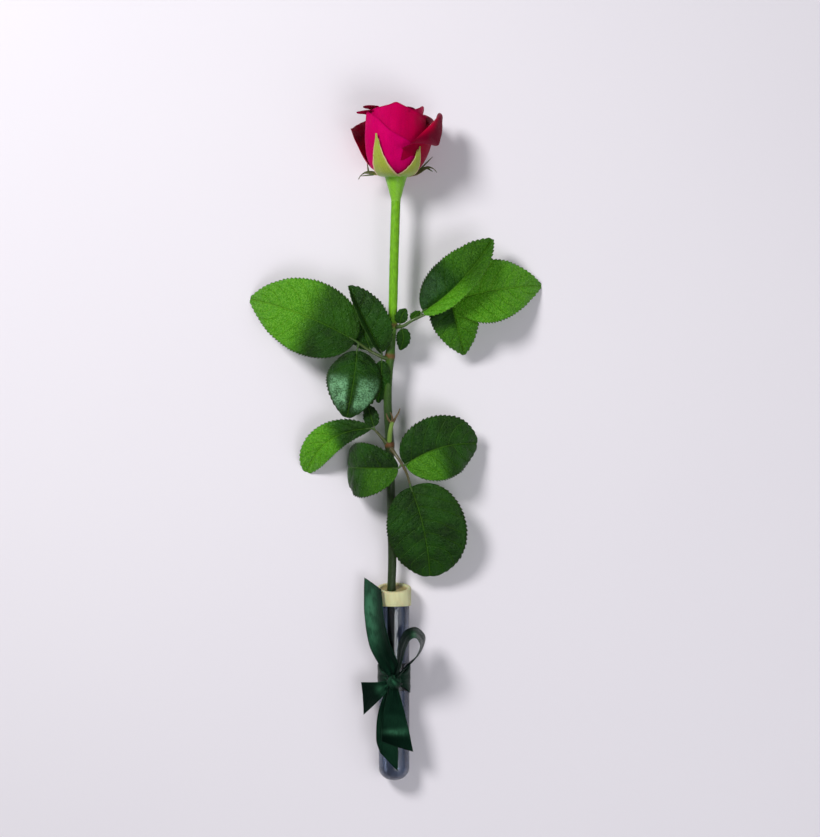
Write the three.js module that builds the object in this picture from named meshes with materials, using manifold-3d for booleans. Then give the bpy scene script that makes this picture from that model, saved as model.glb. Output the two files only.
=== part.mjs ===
// A long-stemmed red rose in a slim glass tube vase, lying on its side as it does in a gift box.
// The cut end stands in the tube's water, a soft rubber collar closes the tube round the stem,
// and a satin ribbon is tied round the tube in a bow. All sizes are millimetres.
// +Y runs from the vase to the bloom, +Z is up, and the underside rests on the plane z = 0.
import * as THREE from "three";
import { mergeVertices } from "three/addons/utils/BufferGeometryUtils.js";
import Module from "manifold-3d";

const wasm = await Module();
wasm.setup();

// ---- driving dimensions ----
const clearance = 0.3; // between pieces that touch on the real object

const tubeRadius = 12;
const tubeWall = 1.4;
const tubeMouthY = -2.5;
const tubeFootY = -148;
const tubeAxisHeight = 13; // the collar and the ribbon hold the glass 1 mm off the surface
const tubeSides = 24;

const collarRadius = 13.4;
const collarSkirtY = -11; // how far the collar reaches down the tube
const collarSlant = THREE.MathUtils.degToRad(12.8); // its mouth leans up
const collarDish = 1.8; // and its face sinks towards the stem

const waterLevel = 7.5; // above the tube's axis

const stemRadius = 3.3;
const neckRadius = 3.6; // it thickens a little towards the bloom
const cutEndY = -116; // where the stem's cut end lies in the water

const bloomBase = new THREE.Vector3(1.5, 326, 29.8); // where the petals leave the receptacle
const bloomTilt = THREE.MathUtils.degToRad(4); // the bloom's axis rises with the stem
const neckLength = 20.5;
const petalThickness = 0.7;

const leafThickness = 0.7;
const rachisRadius = 1.1;

const ribbonWidth = 22;
const ribbonThickness = 0.7;
const knotY = -68;

// ---- helpers: closed solids from grids and curves ----
const vec = (x, y, z) => new THREE.Vector3(x, y, z);
const lerp = THREE.MathUtils.lerp;
const smooth = THREE.MathUtils.smoothstep;

function solidOf(geometry) {
  const bare = geometry.clone();
  bare.deleteAttribute("normal");
  bare.deleteAttribute("uv");
  const merged = mergeVertices(bare, 1e-4);
  return new wasm.Manifold(
    new wasm.Mesh({
      numProp: 3,
      vertProperties: merged.attributes.position.array,
      triVerts: new Uint32Array(merged.index.array),
    }),
  );
}

const bigger = (a, b) => (b.volume() > a.volume() ? b : a);
const largest = (solid) => solid.decompose().reduce(bigger);

// One body from pieces that are sunk into each other. Loose scraps are dropped.
const join = (solids) => largest(solids.reduce((whole, next) => whole.add(next)));

function geometryOf(solid) {
  const mesh = solid.getMesh();
  const geometry = new THREE.BufferGeometry();
  geometry.setAttribute("position", new THREE.BufferAttribute(mesh.vertProperties, 3));
  geometry.setIndex(new THREE.BufferAttribute(mesh.triVerts, 1));
  geometry.computeVertexNormals();
  return geometry;
}

// Triangles as a geometry, from a list of points and a list of index triples.
function meshOf(points, triangles) {
  const geometry = new THREE.BufferGeometry().setFromPoints(points);
  geometry.setIndex(triangles.flat());
  return geometry;
}

// A thin closed blade: grid[i][j] are points of its middle surface, thickened alike on both faces.
function blade(grid, thickness) {
  const rows = grid.length;
  const columns = grid[0].length;
  const within = (index, count) => THREE.MathUtils.clamp(index, 0, count - 1);
  const at = (i, j) => grid[within(i, rows)][within(j, columns)];
  const front = [];
  const back = [];
  for (let i = 0; i < rows; i++) {
    for (let j = 0; j < columns; j++) {
      const along = at(i + 1, j).clone().sub(at(i - 1, j));
      const across = at(i, j + 1).clone().sub(at(i, j - 1));
      const normal = across.cross(along).normalize().multiplyScalar(thickness / 2);
      front.push(at(i, j).clone().add(normal));
      back.push(at(i, j).clone().sub(normal));
    }
  }
  const half = rows * columns;
  const id = (i, j) => i * columns + j;
  const triangles = [];
  for (let i = 0; i < rows - 1; i++) {
    for (let j = 0; j < columns - 1; j++) {
      const [a, b, c, d] = [id(i, j), id(i, j + 1), id(i + 1, j + 1), id(i + 1, j)];
      triangles.push([a, b, c], [a, c, d]);
      triangles.push([a + half, c + half, b + half], [a + half, d + half, c + half]);
    }
  }
  const rim = [];
  for (let j = 0; j < columns - 1; j++) rim.push(id(0, j));
  for (let i = 0; i < rows - 1; i++) rim.push(id(i, columns - 1));
  for (let j = columns - 1; j > 0; j--) rim.push(id(rows - 1, j));
  for (let i = rows - 1; i > 0; i--) rim.push(id(i, 0));
  rim.forEach((a, k) => {
    const b = rim[(k + 1) % rim.length];
    triangles.push([b, a, a + half], [b, a + half, b + half]);
  });
  return solidOf(meshOf([...front, ...back], triangles));
}

// A round bar along a curve, its radius a function of the way along.
function bar(curve, radiusAt, sides, steps) {
  const frames = curve.computeFrenetFrames(steps, false);
  const points = [];
  const triangles = [];
  for (let i = 0; i <= steps; i++) {
    const centre = curve.getPointAt(i / steps);
    const radius = radiusAt(i / steps);
    for (let k = 0; k < sides; k++) {
      const angle = (2 * Math.PI * k) / sides;
      points.push(
        centre
          .clone()
          .addScaledVector(frames.normals[i], radius * Math.cos(angle))
          .addScaledVector(frames.binormals[i], radius * Math.sin(angle)),
      );
    }
  }
  for (let i = 0; i < steps; i++) {
    for (let k = 0; k < sides; k++) {
      const [a, b] = [i * sides + k, i * sides + ((k + 1) % sides)];
      triangles.push([a, b, b + sides], [a, b + sides, a + sides]);
    }
  }
  const last = steps * sides;
  for (let k = 1; k < sides - 1; k++) {
    triangles.push([0, k + 1, k], [last, last + k, last + k + 1]);
  }
  return solidOf(meshOf(points, triangles));
}

function curveThrough(points) {
  return new THREE.CatmullRomCurve3(points.map((p) => vec(...p)), false, "centripetal");
}

// A solid of revolution about the tube's axis, from [radius, y] pairs that run from the far end up.
function turned(profile, sides) {
  const points = profile.map(([radius, y]) => new THREE.Vector2(radius, y));
  const lathe = new THREE.LatheGeometry(points, sides);
  lathe.translate(0, 0, tubeAxisHeight);
  return solidOf(lathe);
}

function slab(low, high) {
  const size = high.clone().sub(low);
  const box = new THREE.BoxGeometry(size.x, size.y, size.z);
  box.translate(...low.clone().add(high).multiplyScalar(0.5).toArray());
  return solidOf(box);
}

// ---- the stem, with its nodes, the leaf scar and the withered side shoot ----
const stemTopY = bloomBase.y - neckLength * Math.cos(bloomTilt) - 1.5 * clearance;
const stemPoints = [
  [-0.5, cutEndY, 10.5],
  [-1.5, -60, 12],
  [-2, 1, 13.3],
  [-1.4, 25, 14.6],
  [-2.3, 72, 17],
  [-3.5, 117, 19],
  [-5, 150, 20.5],
  [-4.6, 165, 21.5],
  [-2.3, 192, 23],
  [-1.1, 212, 24.2],
  [0.1, 258, 27],
  [1.5, stemTopY, bloomBase.z - neckLength * Math.sin(bloomTilt)],
];
const stemLine = curveThrough(stemPoints);
const lowerNodeY = 115;
const middleNodeY = 184;
const upperNodeY = 208;
const nodeSwelling = 0.7; // it is thicker at the nodes,
const nodeReach = 3.5; // this far along the stem

function stemPointAt(y) {
  const offBy = (p) => Math.abs(p.y - y);
  return stemLine.getPoints(400).reduce((near, p) => (offBy(p) < offBy(near) ? p : near)).clone();
}

function stemRadiusAt(y) {
  const swellings = [lowerNodeY, middleNodeY, upperNodeY].map((node) => {
    return Math.exp(-(((y - node) / nodeReach) ** 2));
  });
  return lerp(stemRadius, neckRadius, smooth(y, 150, 300)) + nodeSwelling * Math.max(...swellings);
}

function stemSolid() {
  return bar(stemLine, (t) => stemRadiusAt(stemLine.getPointAt(t).y), 9, 34);
}

// The room that the stem needs in what it passes through: a clearance all round it, and past its cut end.
function stemRoom() {
  const [x, y, z] = stemPoints[0];
  const line = curveThrough([[x, y - clearance, z], ...stemPoints.slice(1)]);
  return bar(line, (t) => stemRadiusAt(line.getPointAt(t).y) + clearance, 9, 34);
}

function sideShoot() {
  const foot = stemPointAt(lowerNodeY + 2);
  const lift = stemRadius * 0.6;
  const shoot = curveThrough([
    [foot.x, foot.y, foot.z + lift],
    [foot.x + 0.6, foot.y + 8, foot.z + lift + 4],
    [foot.x + 2.4, foot.y + 16, foot.z + lift + 6],
  ]);
  const tips = [
    [[2, 14, 5.4], [-1, 18, 7], [-2.6, 22, 6.6]],
    [[2, 14, 5.6], [5, 19, 8.4], [7, 22.5, 8], [8.2, 26, 9.4]],
    [[1.8, 14, 5.6], [2.4, 19, 8.6], [0.6, 23, 9.4]],
  ];
  const withered = tips.map((tip) => {
    const line = curveThrough(tip.map(([x, y, z]) => [foot.x + x, foot.y + y, foot.z + lift + z]));
    return bar(line, (t) => 1 - 0.5 * t, 5, 4);
  });
  return [bar(shoot, (t) => 2 - 0.5 * t, 8, 5), ...withered];
}

const stem = join([stemSolid(), ...sideShoot()]);

// ---- the vase: glass tube, water and rubber collar ----
// A round-ended profile from the foot on the axis out to the full radius.
function roundFoot(radius, footY, depth, rounds = 4) {
  const profile = [];
  for (let k = 0; k <= rounds; k++) {
    const angle = (Math.PI / 2) * (k / rounds);
    profile.push([k === 0 ? 0 : radius * Math.sin(angle), footY + depth * (1 - Math.cos(angle))]);
  }
  return profile;
}

function vaseTube() {
  const inner = tubeRadius - tubeWall;
  const outside = roundFoot(tubeRadius, tubeFootY, tubeRadius - 2);
  const inside = roundFoot(inner, tubeFootY + tubeWall, inner - 1.2);
  const lip = [[tubeRadius, tubeMouthY], [inner, tubeMouthY]];
  return turned([...outside, ...lip, ...inside.reverse()], tubeSides);
}

function water() {
  const radius = tubeRadius - tubeWall - clearance;
  const foot = roundFoot(radius, tubeFootY + tubeWall + clearance, radius - 1.2);
  const top = tubeMouthY - clearance;
  const body = turned([...foot, [radius, top], [0, top]], tubeSides);
  const air = slab(vec(-20, -200, tubeAxisHeight + waterLevel), vec(20, 20, 60));
  return body.subtract(air).subtract(stemRoom());
}

function collar() {
  const grip = tubeRadius + clearance;
  const body = turned(
    [
      [0, collarSkirtY],
      [collarRadius - 0.5, collarSkirtY],
      [collarRadius, collarSkirtY + 1],
      [collarRadius, 10],
      [0, 10],
    ],
    32,
  );
  const socketEnd = tubeMouthY + clearance;
  const socketFoot = collarSkirtY - 1;
  const hollow = [[0, socketFoot], [grip, socketFoot], [grip, socketEnd], [0, socketEnd]];
  const socket = turned(hollow, tubeSides);
  const mouth = vec(0, collarRadius * Math.tan(collarSlant), tubeAxisHeight);
  const lean = new THREE.Matrix4().makeRotationX(collarSlant).setPosition(mouth);
  const trim = solidOf(new THREE.BoxGeometry(60, 30, 60).translate(0, 15, 0).applyMatrix4(lean));
  const dish = solidOf(new THREE.CylinderGeometry(10.8, 9.8, 2 * collarDish, 24).applyMatrix4(lean));
  const below = slab(vec(-20, -30, -10), vec(20, 20, 0));
  return body.subtract(socket).subtract(trim).subtract(dish).subtract(stemRoom()).subtract(below);
}

// ---- the bloom ----
const bloomUp = vec(0, Math.cos(bloomTilt), Math.sin(bloomTilt));
const bloomFront = vec(0, -Math.sin(bloomTilt), Math.cos(bloomTilt));
const bloomRight = vec(1, 0, 0);

// A point of the bloom: height along its axis, out along an azimuth that runs from the front round to the
// right, and sideways square to that.
function inBloom(height, out, azimuth, sideways = 0) {
  const [cos, sin] = [Math.cos(azimuth), Math.sin(azimuth)];
  return bloomBase
    .clone()
    .addScaledVector(bloomUp, height)
    .addScaledVector(bloomFront, out * cos - sideways * sin)
    .addScaledVector(bloomRight, out * sin + sideways * cos);
}

function bezier(points, t) {
  const k = 1 - t;
  const weights = [k * k * k, 3 * k * k * t, 3 * k * t * t, t * t * t];
  return [0, 1].map((axis) => weights.reduce((sum, weight, i) => sum + weight * points[i][axis], 0));
}

// A petal's middle surface before its rim rolls: u runs across, s from the root to the rim.
function petalSheet(petal, u, s) {
  const [out, height] = bezier(petal.line, s);
  const half = petal.half * lerp(0.24, 1, Math.sin((Math.min(1, s / 0.7) * Math.PI) / 2));
  const bend = petal.bend * Math.max(out, 4) + 1.5;
  const angle = (u * half) / bend;
  const lap = petal.lap * u * smooth(s, 0.1, 0.5);
  return inBloom(height, out + lap - bend * (1 - Math.cos(angle)), petal.azimuth, bend * Math.sin(angle));
}

// A smooth line through five values spread from u = -1 to 1.
function acrossFive(values, u) {
  const spot = (u + 1) * 2;
  const index = THREE.MathUtils.clamp(Math.floor(spot), 0, 3);
  const share = spot - index;
  const [b, c] = [values[index], values[index + 1]];
  const a = index > 0 ? values[index - 1] : 2 * b - c;
  const d = index < 3 ? values[index + 2] : 2 * c - b;
  return b + 0.5 * share * (c - a + share * (2 * a - 5 * b + 4 * c - d + share * (3 * (b - c) + d - a)));
}

// Up the sheet to its edge, then outwards round the roll and on along the flap.
function petalPoint(petal, u, v) {
  const edge = acrossFive(petal.edge, u);
  const length = petal.line[3][1] + 6;
  const eased = lerp(petal.easing, 1, smooth(u, -1, -0.2));
  const [roll, most] = [petal.roll * eased, petal.turn * eased];
  const [hang, where, wide, sharp] = petal.flap;
  const flap = hang * Math.max(0, 1 - Math.abs(u - where) / wide) ** sharp;
  const reach = v * (edge * length + roll * most + flap);
  if (reach <= edge * length) return petalSheet(petal, u, reach / length);
  const step = 0.02;
  const [low, high] = [Math.max(-1, u - step), Math.min(1, u + step)];
  const origin = petalSheet(petal, u, edge);
  const upwards = petalSheet(petal, u, edge + step).sub(origin);
  const sideways = petalSheet(petal, high, edge).sub(petalSheet(petal, low, edge));
  const fold = petalSheet(petal, high, acrossFive(petal.edge, high));
  fold.sub(petalSheet(petal, low, acrossFive(petal.edge, low)));
  const outward = sideways.cross(upwards).normalize();
  const onward = outward.clone().cross(fold).normalize();
  if (onward.dot(upwards) < 0) onward.negate();
  const turn = Math.min((reach - edge * length) / roll, most);
  const straight = reach - edge * length - turn * roll;
  return origin
    .addScaledVector(onward, roll * Math.sin(turn) + straight * Math.cos(turn))
    .addScaledVector(outward, roll * (1 - Math.cos(turn)) + straight * Math.sin(turn));
}

const petalDefaults = {
  bend: 1,
  lap: 1.3, // how far one side stands out over the next petal
  edge: [0.9, 0.97, 1, 0.97, 0.9], // how far up its line the rim starts to roll, at five places across
  roll: 2, // that roll's radius,
  turn: 1.2, // and how far it goes, in radians
  flap: [0, 0, 1, 1], // the end that hangs from it: its length, place across, half width and sharpness
  easing: 1, // the share of the roll that is left at its left end
  rows: 5,
};
const degrees = THREE.MathUtils.degToRad;

// The petals that show from outside, each by its own azimuth and line of [out, height] from root to rim.
const outerPetals = [
  {
    azimuth: degrees(-7), // the one that faces up, its edge falling to the right
    line: [[5.6, 0.6], [20, -6.5], [33.5, 13], [25, 46]],
    half: 24,
    edge: [1, 0.94, 0.82, 0.74, 0.64],
    lap: -0.8,
    roll: 1.5,
    turn: 0.9,
  },
  {
    azimuth: degrees(7), // the broad dome behind it
    line: [[5.5, 0.8], [20, -4], [34, 23], [19, 51]],
    half: 28,
    edge: [0.92, 0.97, 0.99, 0.925, 0.88],
    lap: -0.4,
    roll: 1.8,
    turn: 1,
    flap: [1.8, -0.08, 0.16, 1],
  },
  {
    azimuth: degrees(59), // its rim is rolled right over in a long band up to the right
    line: [[5.8, 0.6], [19, -4], [29, 11], [34, 52]],
    half: 23,
    edge: [0.62, 0.765, 0.86, 0.915, 0.94],
    lap: -1.4,
    roll: 2.1,
    turn: 3,
    flap: [16, -0.15, 1.15, 0.9],
    easing: 0.3,
    rows: 8,
  },
  {
    azimuth: degrees(80), // its corner stands up
    line: [[5.5, 1], [20, 0], [28, 24], [19.5, 50]],
    half: 19,
    edge: [0.95, 0.97, 0.98, 0.91, 0.85],
    lap: 0,
    roll: 1.2,
    turn: 0.9,
    flap: [2.5, 0.1, 0.4, 1],
  },
  {
    azimuth: degrees(-118), // it leans out on the left
    line: [[5.8, 1], [21, -4], [27, 16], [38, 42]],
    half: 18.5,
    edge: [0.99, 0.97, 0.93, 0.895, 0.89],
    lap: 0.4,
    roll: 1,
    turn: 0.5,
  },
  {
    azimuth: degrees(-84), // this one and the next turn out a lip on the left
    line: [[5.6, 1], [19, 0], [28, 20], [20.5, 45.5]],
    half: 13.5,
    edge: [0.9, 0.95, 0.98, 1, 1],
    lap: 0.3,
    roll: 1.5,
    turn: 2,
    flap: [10.5, 0.45, 0.55, 0.3],
    rows: 6,
  },
  {
    azimuth: degrees(-88),
    line: [[5.6, 1], [17, 1], [25, 24], [16.5, 49]],
    half: 12.5,
    edge: [0.92, 0.96, 0.98, 1, 1],
    lap: 0.3,
    roll: 1.3,
    turn: 1.9,
    flap: [9.5, 0.45, 0.5, 0.3],
    rows: 6,
  },
  {
    azimuth: degrees(120),
    line: [[5.6, 1], [20, 1], [31, 22], [23.5, 46]],
    half: 24,
    edge: [0.84, 0.86, 0.95, 0.96, 0.9],
    lap: 0.6,
    roll: 2.2,
    turn: 2.2,
    flap: [4, 0, 1, 1.4],
  },
  {
    azimuth: degrees(178), // the lowest
    line: [[5.8, 1], [22, 1], [32, 20], [28, 45]],
    half: 28,
    lap: 0.6,
    roll: 2.4,
    turn: 2.4,
    flap: [4, 0, 1, 1.4],
  },
];

// The petals inside them wind round the heart by the golden angle, each a little wider and looser.
const innerCount = 11;
const goldenAngle = degrees(137.5);
function innerPetal(index) {
  const share = index / (innerCount - 1);
  const top = lerp(4, 16.5, share ** 0.9);
  const belly = lerp(8, 24.5, share);
  const height = lerp(45.5, 48, Math.sin(Math.PI * share * 0.8));
  return {
    azimuth: goldenAngle * index + degrees(20),
    line: [[5 - share * 0.4, 2.4], [belly * 0.75, 5], [belly * 1.12, 30], [top, height]],
    half: lerp(10, 24, share),
    edge: [0.86, 0.96, 1, 0.96, 0.86],
    lap: lerp(0.8, 1, share),
    roll: lerp(1.2, 1.5, share),
    turn: lerp(1, 1.4, share),
    rows: 4,
  };
}

function petalSolid(petal, across) {
  const full = { ...petalDefaults, ...petal };
  const grid = [];
  for (let i = 0; i <= full.rows; i++) {
    const row = [];
    const v = (i / full.rows) ** 0.8; // closer together towards the rim
    for (let j = 0; j <= across; j++) row.push(petalPoint(full, (2 * j) / across - 1, v));
    grid.push(row);
  }
  return blade(grid, petalThickness);
}

// A solid of revolution about the bloom's axis, from [radius, height] pairs.
function turnedInBloom(profile, sides) {
  const points = profile.map(([radius, height]) => new THREE.Vector2(radius, height));
  const lathe = new THREE.LatheGeometry(points, sides);
  const turn = new THREE.Matrix4().makeBasis(bloomRight, bloomUp, bloomFront).setPosition(bloomBase);
  return solidOf(lathe.applyMatrix4(turn));
}

function petals() {
  const heart = turnedInBloom([[0, -1], [5.5, -1], [7.4, 2], [5.5, 6], [3.4, 14], [3, 42], [0, 46]], 10);
  const pieces = outerPetals.map((petal) => petalSolid(petal, 6));
  for (let index = 0; index < innerCount; index++) pieces.push(petalSolid(innerPetal(index), 4));
  const below = slab(vec(-60, 300, -20), vec(60, 400, 0)); // the lowest petal lies on a small flat
  return join([heart, ...pieces]).subtract(below);
}

// ---- the calyx: the receptacle that widens from the stem, and its five sepals ----
// The two in front lie against the petals. The others curl back.
// taper is how late they narrow, and twist how far the curled ones turn edge up.
const sepals = [
  { azimuth: -28, line: [[7, -2.8], [16.8, -4.6], [29.4, 1], [31.6, 29]], half: 11, taper: 2.1, twist: 0 },
  { azimuth: 37, line: [[7, -2.8], [16, -3.4], [27.5, 1], [31, 19.3]], half: 9.6, taper: 1.7, twist: 0 },
  { azimuth: 112, line: [[7, -3], [18.5, -4.8], [26, 12], [34.5, 0.5]], half: 6, taper: 0.55, twist: 65 },
  { azimuth: 182, line: [[7, -3], [14, -3.6], [20, -3], [21, -13]], half: 6, taper: 1, twist: 0 },
  { azimuth: -100, line: [[7, -3], [16, -2], [25, 5], [29.5, -5]], half: 6, taper: 0.55, twist: -60 },
];

function sepalPoint(sepal, t, u) {
  const [out, height] = bezier(sepal.line, t);
  const widening = lerp(0.84, 1, Math.sin((Math.PI / 2) * Math.min(1, t * 3)));
  const half = sepal.half * widening * Math.max(0.07, 1 - t ** sepal.taper);
  const bend = Math.max(out, 9);
  const angle = (u * half) / bend;
  const width = bend * Math.sin(angle);
  const twist = degrees(sepal.twist) * smooth(t, 0.1, 0.6);
  const outwards = out - bend * (1 - Math.cos(angle));
  const upwards = height + width * Math.sin(twist);
  return inBloom(upwards, outwards, degrees(sepal.azimuth), width * Math.cos(twist));
}

function sepalSolid(sepal) {
  const grid = [];
  const steps = 7;
  for (let i = 0; i <= steps; i++) grid.push([-1, 0, 1].map((u) => sepalPoint(sepal, i / steps, u)));
  return blade(grid, 0.8);
}

function calyx() {
  const neck = [[0, -neckLength], [neckRadius, -neckLength], [4.7, -17.5], [6.2, -11.5], [7.5, -7]];
  const receptacle = turnedInBloom([...neck, [8.5, -3.6], [9.2, -2.3], [8.8, -1.5], [0, -1.5]], 14);
  return join([receptacle, ...sepals.map(sepalSolid)]);
}

// ---- the leaves ----
// A leaflet's blade lies along its midrib from base to tip, lifted in the middle by a control point,
// with saw teeth along both edges. fold raises the halves from the midrib, droop lets the edges fall,
// and left or right narrows one half.
function leafletPoint(leaflet, t, side) {
  const [base, bow, tip] = [leaflet.base, leaflet.bow, leaflet.tip].map((point) => vec(...point));
  const midrib = new THREE.QuadraticBezierCurve3(base, bow, tip);
  const rib = midrib.getPoint(t);
  const along = midrib.getTangent(t);
  const right = along.clone().cross(vec(0, 0, 1)).normalize();
  const up = right.clone().cross(along).normalize();
  const roll = degrees(leaflet.roll ?? 0);
  const across = right.clone().multiplyScalar(Math.cos(roll)).addScaledVector(up, Math.sin(roll));
  const above = up.clone().multiplyScalar(Math.cos(roll)).addScaledVector(right, -Math.sin(roll));
  const [rise, fall] = leaflet.outline ?? [0.5, 0.62];
  const peak = (rise / (rise + fall)) ** rise * (fall / (rise + fall)) ** fall;
  const share = Math.max(t, 1e-4) ** rise * Math.max(1 - t, 1e-4) ** fall;
  const pointed = 1 - 0.35 * Math.exp(-(1 - t) / 0.11);
  const part = side < 0 ? (leaflet.left ?? 1) : (leaflet.right ?? 1);
  const half = Math.max(0.5, part * (leaflet.width / 2) * (share / peak) * pointed);
  const reach = Math.abs(side) * half;
  const fold = Math.tan(degrees(leaflet.fold ?? 10)) * reach;
  const droop = ((leaflet.droop ?? 0.12) * reach * reach) / (leaflet.width / 2);
  return rib.addScaledVector(across, side * half).addScaledVector(above, fold - droop);
}

function leafletSolid(leaflet) {
  const teeth = leaflet.width > 36 ? 7 : leaflet.width > 18 ? 5 : 3; // on each edge
  const sides = leaflet.width > 18 ? [-1, -0.5, 0, 0.5, 1] : [-1, 0, 1];
  const steps = 2 * teeth;
  const grid = [];
  for (let i = 0; i <= steps; i++) {
    const t = lerp(0.01, 0.99, i / steps);
    const tooth = i % 2 ? 1.045 : 0.965;
    grid.push(sides.map((side) => leafletPoint(leaflet, t, Math.abs(side) === 1 ? side * tooth : side)));
  }
  return blade(grid, leafThickness);
}

function leaf({ rachis, leaflets }) {
  const stalk = bar(curveThrough(rachis), (t) => lerp(rachisRadius * 1.3, rachisRadius * 0.8, t), 6, 9);
  const stalks = leaflets.map((leaflet) => {
    const from = vec(...leaflet.from);
    const inside = leafletPoint(leaflet, 0.2, 0);
    const base = vec(...leaflet.base);
    return bar(new THREE.CatmullRomCurve3([from, base, inside]), (t) => lerp(0.95, 0.6, t), 5, 4);
  });
  return largest(join([stalk, ...stalks, ...leaflets.map(leafletSolid)]).subtract(stemRoom()));
}

// from is where its own short stalk leaves the rachis. bow is the point that the midrib bends towards.
// fold lifts both halves off it, roll turns the blade on it.
const leaves = {
  leaf_upper_left: {
    rachis: [[-3, 181.5, 23.5], [-10.8, 183.8, 27.5], [-18.5, 187.7, 30], [-28.6, 194.6, 31]],
    leaflets: [
      {
        from: [-27, 193.6, 31], base: [-29.6, 195.4, 31.2], bow: [-70, 219, 46], tip: [-114, 229.5, -0.2],
        width: 58, fold: 6, roll: 2, outline: [0.5, 0.68],
      },
      {
        from: [-9.5, 183.4, 27], base: [-9.5, 186.2, 28], bow: [-23, 211, 42], tip: [-35.1, 238.5, 30],
        width: 33, left: 0.5, right: 0.9, fold: 38, roll: -33, droop: 0.06,
      },
      {
        from: [-18, 187.5, 29.8], base: [-18.2, 189, 29], bow: [-25, 206, 26], tip: [-32.1, 225, 14],
        width: 24,
      },
      {
        from: [-27, 193.6, 31], base: [-28.6, 188, 30], bow: [-29.8, 165, 44], tip: [-36.8, 135.7, 29.5],
        width: 43, fold: 2, droop: 0.5, outline: [0.5, 0.55],
      },
      {
        from: [-9.5, 183.4, 27], base: [-9.6, 180.4, 26.6], bow: [-9, 165, 27], tip: [-12.5, 147.4, 17],
        width: 14,
      },
    ],
  },
  leaf_upper_right: {
    rachis: [[-1, 206.4, 24], [7.1, 207.1, 28.5], [14.1, 211.3, 30.5], [24.1, 215.9, 31.5], [42, 224.4, 32]],
    leaflets: [
      {
        from: [41, 224, 32], base: [43.5, 225.5, 32.5], bow: [77.2, 237.4, 43], tip: [116.6, 240, -0.2],
        width: 49, fold: 7, outline: [0.6, 0.78],
      },
      {
        from: [20.6, 214.4, 31.2], base: [22.4, 218.4, 31.8], bow: [53.5, 236, 50], tip: [76.5, 275, 27],
        width: 40, right: 0.75, fold: 30, roll: 22, droop: 0.1, outline: [0.5, 0.6],
      },
      {
        from: [39, 223, 32], base: [44, 226, 31.4], bow: [49, 208, 35], tip: [55, 184.7, 13],
        width: 38, fold: 12, outline: [0.28, 0.75],
      },
      {
        from: [4.4, 206.8, 27], base: [4.7, 209, 28], bow: [5, 215, 31], tip: [9.8, 220.4, 29.4],
        width: 10,
      },
      {
        from: [4.6, 206.8, 27], base: [5.8, 205, 27.6], bow: [9.4, 198, 29], tip: [4.6, 188.6, 20],
        width: 11,
      },
      {
        from: [12.8, 210.4, 30], base: [13.4, 211.9, 30.2], bow: [16, 215, 32], tip: [20.6, 218.4, 30.4],
        width: 6.5,
      },
    ],
  },
  leaf_lower_left: {
    rachis: [[-5, 114.4, 18.8], [-9.5, 120.4, 23], [-15.5, 127.1, 25]],
    leaflets: [
      {
        from: [-14.8, 126.4, 25], base: [-17.1, 127.5, 25], bow: [-57, 127, 33], tip: [-68.6, 92.6, -0.1],
        width: 28, left: 0.8, fold: 10, droop: 0.2, roll: -4, outline: [0.7, 0.42],
      },
      {
        from: [-14.8, 126.4, 25], base: [-15.5, 128.6, 24.5], bow: [-18, 137, 24], tip: [-20.7, 146, 17],
        width: 12,
      },
    ],
  },
  leaf_lower_right: {
    rachis: [[-2.6, 112.6, 20.4], [1.1, 107.5, 25.2], [6, 100.3, 28], [10.2, 92, 29], [12.6, 84, 28.6]],
    leaflets: [
      {
        from: [6, 99.6, 28], base: [3.6, 96.9, 28.6], bow: [-33, 96.9, 41], tip: [-36.6, 96.9, 4],
        width: 46, right: 0.86, fold: 3, droop: 0.1, outline: [0.5, 0.42],
      },
      {
        from: [6.6, 99, 28], base: [8.4, 99.2, 29], bow: [36.4, 118.4, 42], tip: [65.2, 115.4, 13],
        width: 50, fold: 9, outline: [0.45, 0.5],
      },
      {
        from: [12.4, 85, 28.6], base: [12.9, 82.4, 28.5], bow: [26.6, 48.4, 37], tip: [28, 11.7, 15.4],
        width: 62, left: 1.07, right: 0.92, fold: 5, droop: 0.1, outline: [0.42, 0.42],
      },
    ],
  },
};

// ---- the ribbon: a band round the tube, a knot, one loop and four cut ends ----
// Each strip is a list of stations: the centre of the ribbon there, and half its width as a vector.
function stripSolid(stations, steps = 8) {
  const centre = curveThrough(stations.map(([point]) => point));
  const halves = curveThrough(stations.map(([, half]) => half));
  const grid = [];
  for (let i = 0; i <= steps; i++) {
    const t = i / steps;
    const middle = centre.getPoint(t);
    const half = halves.getPoint(t);
    grid.push([middle.clone().sub(half), middle.clone(), middle.clone().add(half)]);
  }
  return blade(grid, ribbonThickness);
}

function ribbonBand() {
  const around = 24;
  const inner = tubeRadius + clearance;
  const outer = inner + ribbonThickness;
  const flatten = Math.cos(Math.PI / around); // its lowest facet lies flat on the surface
  const half = (turn) => lerp(ribbonWidth / 2, 5, smooth(Math.cos(turn), 0.2, 1)); // gathered at the knot
  const points = [];
  for (let k = 0; k < around; k++) {
    const turn = (2 * Math.PI * (k + 0.5)) / around;
    for (const [radius, edge] of [[inner, -1], [outer, -1], [outer, 1], [inner, 1]]) {
      const reach = radius / flatten;
      const y = knotY + edge * half(turn);
      points.push(vec(reach * Math.sin(turn), y, tubeAxisHeight + reach * Math.cos(turn)));
    }
  }
  const triangles = [];
  for (let k = 0; k < around; k++) {
    const [a, b] = [4 * k, 4 * ((k + 1) % around)];
    for (let c = 0; c < 4; c++) {
      const d = (c + 1) % 4;
      triangles.push([a + c, b + c, b + d], [a + c, b + d, a + d]);
    }
  }
  return solidOf(meshOf(points, triangles));
}

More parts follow.
